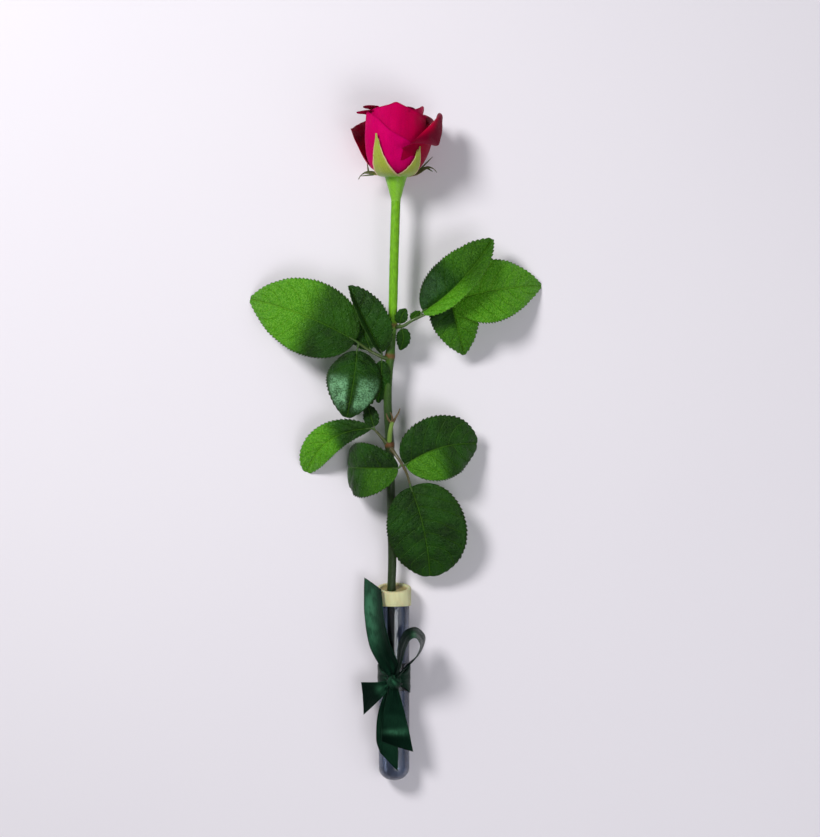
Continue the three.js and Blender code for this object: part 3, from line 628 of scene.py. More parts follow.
def makeCollar():
    shape = newShape()
    wide, axis = vaseLook["collarRadius"], vaseLook["axis"]
    tilt = math.tan(math.radians(vaseLook["collarSlant"]))
    hole = stemPointAt(1)
    grip = tubeRadius + 0.12
    # (radius, height over the skirt's end, share of the slant, share of the stem's offset, darkness: painted
    # shade in the hole, the groove and under the skirt)
    section = [
        (grip, 2.0, 0, 0, 0.6), (grip, 0.4, 0, 0, 0.6), (grip + 0.3, 0.0, 0, 0, 0.2),
        (wide - 0.4, 0.0, 0, 0, 0.1), (wide - 0.1, 0.15, 0, 0, 0), (wide, 0.5, 0, 0, 0), (wide, 1.2, 0, 0, 0),
        (wide - 0.12, 1.5, 0, 0, 0.2),
        (wide, 1.8, 0.05, 0, 0), (wide, 5.0, 0.45, 0, 0), (wide, 10.2, 0.96, 0, 0),
        (wide - 0.12, 10.75, 1, 0, 0), (wide - 0.5, 11.0, 1, 0, 0), (wide - 1.2, 11.05, 1, 0, 0),
        (11.1, 11.0, 1, 0, 0), (10.75, 10.8, 1, 0, 0.1), (10.5, 10.3, 1, 0.1, 0.5), (10.1, 9.5, 1, 0.15, 0.9),
        (9.3, 9.25, 1, 0.3, 1), (6.5, 9.2, 1, 0.7, 1), (4.4, 9.2, 1, 1, 1), (3.75, 9.0, 1, 1, 1),
        (3.5, 8.4, 1, 1, 1), (3.5, 5.0, 1, 1, 1),
    ]
    sides, rings = 96, []
    for index, (reach, height, slant, offset, dark) in enumerate(section):
        ring = []
        for k in range(sides):
            angle = 2 * math.pi * k / sides
            x = offset * hole.x - reach * math.sin(angle)
            z = -reach * math.cos(angle)
            y = height - skirt + slant * (wide - z) * tilt
            spot = Vector((x, y, max(z + axis + offset * (hole.z - axis), 0.0)))
            weave = (angle * wide, index * 1.1, 0)
            ring.append(addPoint(shape, spot, weave, (math.cos(angle), 0, 0), dark))
        rings.append(ring)
    addSkin(shape, rings, sides)
    for ring in (rings[0], rings[-1]):
        middle = sum((shape["points"][i] for i in ring), Vector()) / sides
        addCap(shape, ring, addPoint(shape, middle, (0, 0, 0), (0, 0, 0), 1.0))
    makePiece(shape, "rubber_collar", [makeRubber()], "collar")


makeTube()
makeWater()
makeCollar()


# the bloom
bloomLook = {
    "base": (1.5, 326.0, 29.8),
    "tilt": 4.0,
    "thickness": 0.42,
    "innerCount": 11,
    "ruffle": 0.7,
    "fineRuffle": 0.35,
    "heart": [(0, -1), (5.5, -1), (7.4, 2), (5.5, 6), (3.4, 14), (3, 42), (0, 46)],
    "colours": {
        "outside": (208, 0, 102),  # the backs of the petals
        "inside": (180, 0, 50),
        # dark maroon: the veins, mottling and rims, and painted shade
        "shade": (80, 0, 28),
        "claw": (214, 190, 120),  # the pale root of each petal
    },
}
bloomBase = Vector(bloomLook["base"])
bloomTilt = math.radians(bloomLook["tilt"])
bloomUp = Vector((0, math.cos(bloomTilt), math.sin(bloomTilt)))
bloomFront = Vector((0, -bloomUp.z, bloomUp.y))
bloomRight = Vector((1, 0, 0))


def inBloom(height, out, azimuth, sideways=0.0):
    radial = bloomFront * math.cos(azimuth) + bloomRight * math.sin(azimuth)
    tangent = bloomRight * math.cos(azimuth) - bloomFront * math.sin(azimuth)
    return bloomBase + bloomUp * height + radial * out + tangent * sideways


def turnedInBloom(radius, height, angle):
    return inBloom(height, radius, angle + math.pi)  # its map begins on the side that lies down


petalUsual = {
    "lap": 0.6, "edge": (0.9, 0.97, 1.0, 0.97, 0.9), "flap": (0, 0, 1, 1), "easing": 1.0, "deep": (0.5, 0.5),
}
# azimuth runs from the side that faces up, round to the right; line is [out, height] from root to end;
# half is half the petal's width, and lap how far its right side lies outside its left one; edge is the share
# of the line where the rim starts to roll, at five places across; roll is that roll's radius, turn how far it
# goes, and flap the end that hangs from it: its length, place across, half width and sharpness; easing is the
# share of the roll that is left at its left end; deep is how far the colour of its back goes towards the
# redder colour inside, at its left and its right (below nought it goes towards painted shade instead)
outerPetals = [
    dict(azimuth=-7, half=24, lap=-0.8, roll=1.5, line=[(5.6, 0.6), (20, -6.5), (33.5, 13), (25, 46)],
         turn=0.9, edge=(1.0, 0.94, 0.82, 0.74, 0.64), deep=(0.15, 0.1)),
    dict(azimuth=7, half=28, lap=-0.4, roll=1.8, turn=1.0, line=[(5.5, 0.8), (20, -4), (34, 23), (19, 51)],
         edge=(0.92, 0.97, 0.99, 0.925, 0.88), flap=(1.8, -0.08, 0.16, 1), deep=(0.3, 0.78)),
    # its back, under its own rolled rim, is painted shade
    dict(azimuth=59, half=23, lap=-1.4, roll=2.1, turn=3.0, line=[(5.8, 0.6), (19, -4), (29, 11), (34, 52)],
         edge=(0.62, 0.765, 0.86, 0.915, 0.94), flap=(16, -0.15, 1.15, 0.9), easing=0.3, deep=(-0.3, -0.6)),
    dict(azimuth=80, half=19, lap=0.0, roll=1.2, turn=0.9, line=[(5.5, 1), (20, 0), (28, 24), (19.5, 50)],
         edge=(0.95, 0.97, 0.98, 0.91, 0.85), flap=(2.5, 0.1, 0.4, 1), deep=(0.6, 0.6)),
    dict(azimuth=-118, half=18.5, lap=0.4, roll=1.0, turn=0.5, line=[(5.8, 1), (21, -4), (27, 16), (38, 42)],
         edge=(0.99, 0.97, 0.93, 0.895, 0.89)),
    dict(azimuth=-84, half=13.5, lap=0.3, roll=1.5, line=[(5.6, 1), (19, 0), (28, 20), (20.5, 45.5)],
         turn=2.0, edge=(0.9, 0.95, 0.98, 1, 1), flap=(10.5, 0.45, 0.55, 0.3)),
    dict(azimuth=-88, half=12.5, lap=0.3, roll=1.3, turn=1.9, line=[(5.6, 1), (17, 1), (25, 24), (16.5, 49)],
         edge=(0.92, 0.96, 0.98, 1, 1), flap=(9.5, 0.45, 0.5, 0.3), deep=(0.6, 0.6)),
    # its back is painted shade
    dict(azimuth=120, half=24, roll=2.2, turn=2.2, line=[(5.6, 1), (20, 1), (31, 22), (23.5, 46)],
         edge=(0.84, 0.86, 0.95, 0.96, 0.9), flap=(4, 0, 1, 1.4), deep=(-0.45, -0.45)),
    dict(azimuth=178, half=28, roll=2.4, turn=2.4, line=[(5.8, 1), (22, 1), (32, 20), (28, 45)],
         flap=(4, 0, 1, 1.4), deep=(0.2, 0.2)),
]


def innerPetal(index):  # they wind round the heart by the golden angle, each a little wider and looser
    share = index / (bloomLook["innerCount"] - 1)
    belly = mix(8, 24.5, share)
    mouth = mix(4, 16.5, share ** 0.9)
    top = mix(45.5, 48, math.sin(math.pi * share * 0.8))
    return dict(
        azimuth=137.5 * index + 20, half=mix(10, 24, share), lap=mix(0.8, 1.0, share),
        line=[(5 - share * 0.4, 2.4), (belly * 0.75, 5), (belly * 1.12, 30), (mouth, top)],
        edge=(0.86, 0.96, 1, 0.96, 0.86), roll=mix(1.2, 1.5, share), turn=mix(1.0, 1.4, share),
        flap=(1.5 * share, 0, 1, 1.4), deep=(0.6, 0.6),
    )


def acrossFive(values, u):  # a smooth line through five values spread from u = -1 to 1
    spot = (min(max(u, -1.0), 1.0) + 1) * 2
    index = min(int(spot), 3)
    share = spot - index
    b, c = values[index], values[index + 1]
    a = values[index - 1] if index > 0 else 2 * b - c
    d = values[index + 2] if index < 3 else 2 * c - b
    return b + 0.5 * share * (c - a + share * (2 * a - 5 * b + 4 * c - d + share * (3 * (b - c) + d - a)))


def petalSheet(petal, u, s):
    out, height = bezier(petal["line"], s)
    half = petal["half"] * mix(0.24, 1, math.sin(min(1, s / 0.7) * math.pi / 2))
    bend = max(out, 4) + 1.5
    angle = u * half / bend
    lap = petal["lap"] * u * ease(s, 0.1, 0.5)
    turn = math.radians(petal["azimuth"])
    return inBloom(height, out + lap - bend * (1 - math.cos(angle)), turn, bend * math.sin(angle))


def petalPoint(petal, u, v):
    # up the sheet to its edge, then outwards round the roll and on along the flap
    edge = acrossFive(petal["edge"], u)
    length = petal["line"][3][1] + 6
    eased = mix(petal["easing"], 1, ease(u, -1, -0.2))
    roll, most = petal["roll"] * eased, petal["turn"] * eased
    hang, where, wide, sharp = petal["flap"]
    flap = hang * max(0, 1 - abs(u - where) / wide) ** sharp
    reach = v * (edge * length + roll * most + flap)
    if reach <= edge * length:
        return petalSheet(petal, u, reach / length)
    step = 0.02
    origin = petalSheet(petal, u, edge)
    upwards = petalSheet(petal, u, edge + step) - origin
    low, high = max(-1, u - step), min(1, u + step)
    sideways = petalSheet(petal, high, edge) - petalSheet(petal, low, edge)
    ends = [petalSheet(petal, side, acrossFive(petal["edge"], side)) for side in (low, high)]
    outward = sideways.cross(upwards).normalized()
    onward = outward.cross(ends[1] - ends[0]).normalized()
    if onward.dot(upwards) < 0:
        onward = -onward
    turn = min((reach - edge * length) / roll, most)
    straight = reach - edge * length - turn * roll
    return (origin + onward * (roll * math.sin(turn) + straight * math.cos(turn))
            + outward * (roll * (1 - math.cos(turn)) + straight * math.sin(turn)))


def makePetalFinish():
    finish, tree = newFinish(
        "petalVelvet", Roughness=0.6, Specular_IOR_Level=0.12, Specular_Tint=paint(255, 90, 150),
        Sheen_Weight=0.12, Sheen_Roughness=0.4, Sheen_Tint=paint(255, 20, 110),
        Subsurface_Weight=0.1, Subsurface_Scale=0.003, Subsurface_Radius=(1.0, 0.1, 0.2),
    )
    weave = mapOf(tree, "weave")
    along, seed = partsOf(weave)[1:]
    shareAcross, shareAlong, tone = partsOf(mapOf(tree, "place"))
    look = paintsOf(bloomLook)
    redder = calc("MAXIMUM", tone, times(tone, -3.0), clamp=True)
    mottled = useGroup(patches, Map=weave, Size=16.0, Fine=1.6)
    net = useGroup(fineVeins, Map=weave, Size=1.3, Width=0.16)
    fan = addNode(tree, "ShaderNodeCombineXYZ")  # the veins fan out from the petal's root
    fan = feedAll(fan, X=times(shareAcross, 26.0), Y=times(along, 0.10), Z=seed)[0]
    fibres = cloud(fan, 1.0, 3.0, 0.6, 0.4)
    rimShade = times(span(shareAlong, 0.74, 0.86, 0.0, 0.8), span(tone, 0.8, 1.0))
    # where a petal's tone is below nought, its back is painted shade
    base = layered(
        look["outside"], look, (redder, 1, "inside"), (span(tone, -1.0, 0.0, 1.0, 0.0), 1, "shade"),
        (mottled["Broad"], 0.18, "shade"), (span(fibres, 0.42, 0.62), 0.08, "shade"),
        (net["Lines"], 0.10, "shade"), (rimShade, 1, "shade"),  # inside towards the rim: partly the petals' own darker rims, mostly painted shade on the hanging flaps
        (span(shareAlong, 0.02, 0.12, 0.75, 0.0), 1, "claw"), (numberOf(tree), 0.3, "shade"),
    )
    height = plus(fibres, times(net["Height"], 0.25))
    return dress(finish, base, span(mottled["Mottle"], 0.0, 1.0, 0.52, 0.7), height, 0.00014, 0.6)


def addPetal(shape, petal, seed, columns, rows):
    petal = {**petalUsual, **petal}
    far = 40 * seed  # each petal has ruffles of its own

    def cellAt(t, x):
        u, v = math.sin(math.pi / 2 * x) * 0.35 + x * 0.65, t ** 0.85
        point = petalPoint(petal, u, v)
        loose = ease(v, 0.45, 1.0)
        wave = bloomLook["ruffle"] * loose * ripple(point.x + far, point.y, point.z, 9)
        wave += bloomLook["fineRuffle"] * loose * ripple(point.x, point.y + far, point.z, 3.5)
        radial = (point - bloomBase - bloomUp * (point - bloomBase).dot(bloomUp)).normalized()
        edge = max(ease(v, 0.975, 1.0), ease(abs(u), 0.95, 1.0) * ease(v, 0.3, 0.7))
        point = point + radial * wave + bloomUp * (0.5 * wave * loose)
        return point, u * petal["half"], v * (petal["line"][3][1] + 8), u, v, edge

    def depths(i, j):
        nearEdge = min(rows - i, j * 1.3, (columns - j) * 1.3)
        return (bloomLook["thickness"] / 2 * mix(0.35, 1, min(1, nearEdge / 2.5)),) * 2

    left, right = petal["deep"]
    addBlade(shape, makeGrid(rows, columns, cellAt), depths, seed,
             toneAt=lambda across, along: mix(left, right, ease(across, -0.7, 0.7)))


def makePetals():
    shape = newShape()
    addLathe(shape, bloomLook["heart"], 24, turnedInBloom)
    for index, petal in enumerate(outerPetals):
        addPetal(shape, petal, index + 1, 30, 26)
    for index in range(bloomLook["innerCount"]):
        addPetal(shape, innerPetal(index), index + 20, 20, 20)
    keepAbove(shape, lambda x, y: 0.02 * ripple(x, y, 0, 3) + 0.02)
    makePiece(shape, "rose_petals", [makePetalFinish()], "petals", softening=1)


makePetals()


# the calyx: the receptacle that widens from the stem, and five sepals
calyxLook = {
    "receptacle": [
        (0, -22.4), (3.6, -22.4), (3.68, -22.2), (3.68, -21.4), (4.0, -19.5), (4.7, -17.5), (5.4, -14.5),
        (6.2, -11.5), (6.9, -9), (7.5, -7), (8.1, -5), (8.6, -3.6), (9.3, -2.4), (9.3, -1.8), (8.8, -1.5),
        (0, -1.5),
    ],
    "colours": {
        "skin": (124, 188, 20),
        "sepal": (164, 178, 50),
        "dark": (24, 36, 12),
        "edge": (226, 178, 150),
    },
}
# lobes are the narrow points that fork off: (share along, side, length, spread in degrees),
# taper how late the sepal narrows, and twist how far a curled one turns edge up
sepals = [
    dict(azimuth=-28, line=[(7, -2.8), (16.8, -4.6), (29.4, 1), (31.6, 29)], half=11, taper=2.1, twist=0,
         lobes=[(0.86, 1, 6, 12), (0.72, -1, 3.5, 34)]),
    dict(azimuth=37, line=[(7, -2.8), (16, -3.4), (27.5, 1), (31, 19.3)], half=9.6, taper=1.7, twist=0,
         lobes=[(0.8, -1, 7, 16), (0.66, 1, 3, 36)]),
    dict(azimuth=112, line=[(7, -3), (18.5, -4.8), (26, 12), (34.5, 0.5)], half=6, taper=0.55, twist=65,
         lobes=[(0.45, 1, 13, 20), (0.7, -1, 5, 50)]),
    dict(azimuth=182, line=[(7, -3), (14, -3.6), (20, -3), (21, -13)], half=6, taper=1.0, twist=0,
         lobes=[(0.55, -1, 6, 40)]),
    dict(azimuth=-100, line=[(7, -3), (16, -2), (25, 5), (29.5, -5)], half=6, taper=0.55, twist=-60,
         lobes=[(0.6, -1, 9, 80), (0.4, 1, 12, 30)]),
]


def sepalPoint(sepal, t, u):
    out, height = bezier(sepal["line"], t)
    root = mix(0.84, 1, math.sin(math.pi / 2 * min(1, t * 3)))
    half = sepal["half"] * root * max(0.07, 1 - t ** sepal["taper"])
    bend = max(out, 9)
    angle = u * half / bend
    keel = 0.5 * bell(u, 0.35) * (1 - t)
    twist = math.radians(sepal["twist"]) * ease(t, 0.1, 0.6)
    width = bend * math.sin(angle)
    return inBloom(height + width * math.sin(twist), out + keel - bend * (1 - math.cos(angle)),
                   math.radians(sepal["azimuth"]), width * math.cos(twist))


def makeSepalFinish():
    finish, tree = newFinish("sepalGreen", Roughness=0.55, Sheen_Weight=0.15, Coat_Weight=0.05)
    weave = mapOf(tree, "weave")
    shareAcross, shareAlong = partsOf(mapOf(tree, "place"))[:2]
    look = paintsOf(calyxLook)
    isSepal = span(partsOf(weave)[2], 0.4, 0.6)
    curled = numberOf(tree)
    mottled = useGroup(patches, Map=weave, Size=6.0, Fine=1.0)
    net = useGroup(fineVeins, Map=weave, Size=0.9, Width=0.15)
    fibres = cloud(stretch(weave, 1.6, 0.12))
    rim = times(span(calc("ABSOLUTE", shareAcross), 0.72, 0.95), isSepal)
    rim = times(rim, calc("SUBTRACT", 1.0, curled))
    base = layered(
        look["skin"], look, (times(isSepal, span(shareAlong, 0.05, 0.5, 0.2, 1.0)), 1, "sepal"),
        (mottled["Mottle"], 0.2, "dark"), (span(fibres, 0.5, 0.62, 0.0, 0.16), 1, "dark"),
        (curled, 0.9, "dark"), (rim, 0.8, "edge"),
    )
    height = plus(fibres, times(net["Height"], 0.3))
    return dress(finish, base, span(mottled["Broad"], 0.0, 1.0, 0.45, 0.62), height, 0.0003, 0.6)


def addSepal(shape, sepal, number):
    columns, rows = 10, 34
    curled = 0.95 if number > 1 else 0.0  # the first two lie flat on the bloom

    def cellAt(t, u):
        ragged = 1 + 0.10 * ripple(t * 30, u * 3, number * 7, 1.7) * abs(u)
        return sepalPoint(sepal, t, u * ragged), u * sepal["half"], t * 38, u, t, curled * ease(t, 0.1, 0.5)

    def depths(i, j):
        return (mix(0.4, 0.12, abs(j / (columns / 2) - 1)),) * 2

    addBlade(shape, makeGrid(rows, columns, cellAt), depths, number + 1)
    for at, side, length, spread in sepal["lobes"]:
        root = sepalPoint(sepal, at, side * 0.6)
        forward = (sepalPoint(sepal, at + 0.04, side * 0.6) - root).normalized()
        outside = (sepalPoint(sepal, at, side) - sepalPoint(sepal, at, 0)).normalized()
        heading = forward * math.cos(math.radians(spread)) + outside * math.sin(math.radians(spread))
        bow = forward * (0.15 * length)
        middle, end = root + heading * (length * 0.5) + bow * 0.3, root + heading * length + bow
        addBar(shape, lineThrough([root - forward * 0.5, middle, end], 12),
               lambda t, a: 0.75 * (1 - t) ** 0.7 + 0.12, 8, number + 1,
               detailAt=lambda t: max(0.4 * t, curled), squash=0.5)


def makeCalyx():
    shape = newShape()
    addLathe(shape, calyxLook["receptacle"], 40, turnedInBloom)
    for number, sepal in enumerate(sepals):
        addSepal(shape, sepal, number)
    makePiece(shape, "rose_calyx", [makeSepalFinish()], "calyx", softening=1)


makeCalyx()


# the leaves
leafLook = {
    "thickness": 0.4,
    "toothPitch": 3.1,  # saw teeth along both edges
    "toothDepth": 1.15,
    "veinPitch": 10.5,  # between two side veins
    "veinSlant": 0.24,
    "puff": 1.25,  # how far the blade stands up between them
    "groove": 0.6,
    "buckle": 1.3,
    "stubby": 0.35,  # how much narrower the very tip is
    "veinWander": 0.22,  # no two veins run quite alike
    "veinStagger": 0.42,  # how far those on the left start behind those on the right
    "colours": {
        "dark": (1, 19, 2),
        "green": (5, 45, 3),
        # the pale green that painted light lifts the leaf to, with a little random mottle
        "light": (72, 146, 3),
        # painted highlight glints
        "glintGreen": (118, 182, 52),
        "gleam": (118, 172, 128),  # the room's light on the waxy skin
        "vein": (104, 160, 34),
        "under": (104, 140, 88),
        "stalk": (58, 92, 24),
        "stalkRed": (88, 46, 36),
        "tooth": (52, 46, 20),
    },
}
leafletUsual = {
    "fold": 10, "droop": 0.12, "roll": 0, "left": 1, "right": 1, "outline": (0.5, 0.62), "paintedLight": (0, 0, 0),
}
# line is the start of its own stalk, the blade's base, the point that the midrib bends towards and the tip;
# fold lifts both halves off the midrib, droop lets the edges down again and roll turns the blade on it; left
# or right makes one half narrower or wider; outline gives how soon the blade widens and narrows, and the
# last how far painted light lifts its green on the left, right and tip (below nought a painted shine instead)
leaves = {
    "leaf_upper_left": {
        "rachis": [(-3, 181.5, 23.5), (-10.8, 183.8, 27.5), (-18.5, 187.7, 30), (-28.6, 194.6, 31)],
        "red": 0.2,
        "leaflets": [
            dict(line=[(-27, 193.6, 31), (-29.6, 195.4, 31.2), (-70, 219, 46), (-114, 229.5, -0.2)],
                 width=58, fold=6, roll=2, outline=(0.5, 0.68), paintedLight=(0.1, 0.2, 0.85)),
            dict(line=[(-9.5, 183.4, 27), (-9.5, 186.2, 28), (-23, 211, 42), (-35.1, 238.5, 30)],
                 width=33, left=0.5, right=0.9, fold=38, roll=-33, droop=0.06, paintedLight=(0.05, 0.1, 0.05)),
            dict(line=[(-18, 187.5, 29.8), (-18.2, 189, 29), (-25, 206, 26), (-32.1, 225, 14)],
                 width=24),
            dict(line=[(-27, 193.6, 31), (-28.6, 188, 30), (-29.8, 165, 44), (-36.8, 135.7, 29.5)],
                 width=43, fold=2, droop=0.5, outline=(0.5, 0.55), paintedLight=(0.0, 0.0, -1.0)),
            dict(line=[(-9.5, 183.4, 27), (-9.6, 180.4, 26.6), (-9, 165, 27), (-12.5, 147.4, 17)],
                 width=14),
        ],
    },
    "leaf_upper_right": {
        "rachis": [
            (-1, 206.4, 24), (7.1, 207.1, 28.5), (14.1, 211.3, 30.5), (24.1, 215.9, 31.5), (41.9, 224.4, 32),
        ],
        "red": 0.1,
        "leaflets": [
            dict(line=[(41, 224, 32), (43.5, 225.5, 32.5), (77.2, 237.4, 43), (116.6, 240, -0.2)],
                 width=49, fold=7, outline=(0.6, 0.78), paintedLight=(0.9, 0.8, 0.9)),
            dict(line=[(20.6, 214.4, 31.2), (22.4, 218.4, 31.8), (53.5, 236, 50), (76.5, 275, 27)],
                 width=40, right=0.75, fold=30, roll=22, droop=0.1, outline=(0.5, 0.6),
                 paintedLight=(-0.2, 0.8, 0.35)),
            dict(line=[(39, 223, 32), (44, 226, 31.4), (49, 208, 35), (55, 184.7, 13)],
                 width=38, fold=12, outline=(0.28, 0.75), paintedLight=(0.8, 0.0, 0.45)),
            dict(line=[(4.4, 206.8, 27), (4.7, 209, 28), (5, 215, 31), (9.8, 220.4, 29.4)],
                 width=10,
                 paintedLight=(0.1, 0.1, 0.1)),
            dict(line=[(4.6, 206.8, 27), (5.8, 205, 27.6), (9.4, 198, 29), (4.6, 188.6, 20)],
                 width=11,
                 paintedLight=(0.1, 0.1, 0.1)),
            dict(line=[(12.8, 210.4, 30), (13.4, 211.9, 30.2), (16, 215, 32), (20.6, 218.4, 30.4)],
                 width=6.5,
                 paintedLight=(0.2, 0.2, 0.2)),
        ],
    },
    "leaf_lower_left": {
        "rachis": [(-5, 114.4, 18.8), (-9.5, 120.4, 23), (-15.5, 127.1, 25)],
        "red": 0.5,
        "leaflets": [
            dict(line=[(-14.8, 126.4, 25), (-17.1, 127.5, 25), (-57, 127, 33), (-68.6, 92.6, -0.1)],
                 width=28, left=0.8, droop=0.2, roll=-4, outline=(0.7, 0.42), paintedLight=(0.0, 0.1, 1.0)),
            dict(line=[(-14.8, 126.4, 25), (-15.5, 128.6, 24.5), (-18, 137, 24), (-20.7, 146, 17)],
                 width=12),
        ],
    },
    "leaf_lower_right": {
        "rachis": [(-2.6, 112.6, 20.4), (1.1, 107.5, 25.2), (6, 100.3, 28), (10.2, 92, 29), (12.6, 84, 28.6)],
        "red": 0.8,
        "leaflets": [
            dict(line=[(6, 99.6, 28), (3.6, 96.9, 28.6), (-33, 96.9, 41), (-36.6, 96.9, 4)],
                 width=46, right=0.86, fold=3, droop=0.1, outline=(0.5, 0.42), paintedLight=(0.35, 0.0, 0.1)),
            dict(line=[(6.6, 99, 28), (8.4, 99.2, 29), (36.4, 118.4, 42), (65.2, 115.4, 13)],
                 width=50, fold=9, outline=(0.45, 0.5), paintedLight=(0.0, 0.5, 0.12)),
            dict(line=[(12.4, 85, 28.6), (12.9, 82.4, 28.5), (26.6, 48.4, 37), (28, 11.7, 15.4)],
                 width=62, left=1.07, right=0.92, fold=5, droop=0.1, outline=(0.42, 0.42), paintedLight=(0.1, 0, 0)),
        ],
    },
}


def leafletFrame(leaflet, t):  # the midrib's point at t, and the directions across the blade and above it
    base, bow, tip = [Vector(p) for p in leaflet["line"][1:]]
    k = 1 - t
    rib = base * (k * k) + bow * (2 * k * t) + tip * (t * t)
    along = ((bow - base) * k + (tip - bow) * t).normalized()
    right = along.cross(Vector((0, 0, 1))).normalized()
    up = right.cross(along).normalized()
    roll = math.radians(leaflet["roll"])
    return rib, right * math.cos(roll) + up * math.sin(roll), up * math.cos(roll) - right * math.sin(roll)


def leafletHalf(leaflet, t, side):
    rise, fall = leaflet["outline"]
    peak = (rise / (rise + fall)) ** rise * (fall / (rise + fall)) ** fall
    share = max(t, 1e-4) ** rise * max(1 - t, 1e-4) ** fall
    pointed = 1 - leafLook["stubby"] * math.exp(-(1 - t) / 0.11)
    half = leaflet["left" if side < 0 else "right"] * leaflet["width"] / 2
    return max(0.25, half * share / peak * pointed)


def leafletPoint(leaflet, t, side, tooth, veins, seed):
    rib, across, above = leafletFrame(leaflet, t)
    half = leafletHalf(leaflet, t, side) + tooth
    out = abs(side)
    reach = out * half
    lift = math.tan(math.radians(leaflet["fold"])) * reach
    lift -= leaflet["droop"] * reach * reach / (leaflet["width"] / 2)
    drift = leafLook["veinWander"] * ripple(t * 5 + seed, side * 1.5, seed, 1) * ease(out, 0.1, 0.6)
    phase = veins * (t - leafLook["veinSlant"] * out ** 1.35) + drift
    phase += leafLook["veinStagger"] if side < 0 else 0.0
    size = min(1.0, leaflet["width"] / 40)
    ends = ease(t, 0.02, 0.14) * (1 - ease(t, 0.84, 0.98))
    pillow = abs(math.sin(math.pi * phase)) ** 0.7
    inner = ease(out, 0.03, 0.22) * (1 - ease(out, 0.72, 1.0))
    lift += leafLook["puff"] * size * (pillow - 0.45) * inner * ends
    lift -= leafLook["groove"] * size * bell(reach, 1.4)
    wave = ripple(t * 90 + seed * 31, side * 14, seed * 17, 13)
    lift += leafLook["buckle"] * size * ease(out, 0.1, 1) * ends * wave
    return rib + across * (side * half) + above * lift, side * half, phase


def addLeaflet(shape, leaflet, seed):
    leaflet = {**leafletUsual, **leaflet}
    left, right, tip = leaflet["paintedLight"]
    length = runsOf([leafletFrame(leaflet, i / 40)[0] for i in range(41)])[-1]
    teeth = max(5, round(length / leafLook["toothPitch"]))
    veins = max(4, round(length / leafLook["veinPitch"]))
    halves = [0.05, 0.14, 0.3, 0.48, 0.66, 0.82, 0.93, 1.0]
    if leaflet["width"] < 20:  # a small one needs fewer points
        halves = [0.1, 0.35, 0.7, 0.9, 1.0]
    columns = [-s for s in reversed(halves)] + [0.0] + halves
    depth = leafLook["toothDepth"] * min(1.0, 0.5 + leaflet["width"] / 80)
    ribWidth = min(1.0, leaflet["width"] / 36)
    rows = [(0.004, 0.0)]
    for index in range(teeth):
        size = 1 + 0.45 * ripple(index * 3.1, seed, 0, 1)
        for share, stand in ((0.06, 0.0), (0.4, 0.45 * size), (0.8, size), (0.97, 0.75 * size)):
            t = 0.012 + 0.98 * (index + share) / teeth
            rows.append((t, (stand - 0.35) * depth * ease(t, 0.02, 0.12)))
    rows.append((0.997, 0.0))

    def cellAt(t, tooth, side):
        stand = tooth if abs(side) == 1 else 0.0
        lean = 0.35 * max(stand, 0) / length  # the teeth point forwards
        point, across, phase = leafletPoint(leaflet, min(0.999, t + lean), side, stand, veins, seed)
        return point, across, t * length, side, t, phase if side else veins * t + 0.21

    grid = [[cellAt(t, tooth, side) for side in columns] for t, tooth in rows]

    def depths(i, j):
        side, t = columns[j], rows[i][0]
        half = leafLook["thickness"] / 2 * mix(1, 0.4, ease(abs(side), 0.8, 1))
        keel = 0.8 * ribWidth * bell(side * leafletHalf(leaflet, t, side), 1.0) * (1 - 0.75 * t)
        vein = 0.22 * ribWidth * (1 - abs(math.sin(math.pi * grid[i][j][5])) ** 0.5)
        vein *= 1 - ease(abs(side), 0.7, 1)
        return half, half + keel + vein

    def toneAt(across, along):  # painted light and shade: how lit the green is on the left, on the right and towards the tip
        return 0.4 * mix(mix(left, right, ease(across, -0.05, 0.05)), tip, ease(along, 0.3, 0.62))

    addBlade(shape, grid, depths, seed, toneAt)
    start, base = [Vector(p) for p in leaflet["line"][:2]]
    stalk = lineThrough([start, base, leafletFrame(leaflet, 0.06)[0]], 12)
    addBar(shape, stalk, lambda t, a: mix(0.95, 0.5, t) * mix(0.7, 1, ribWidth), 10, seed, slot=1)


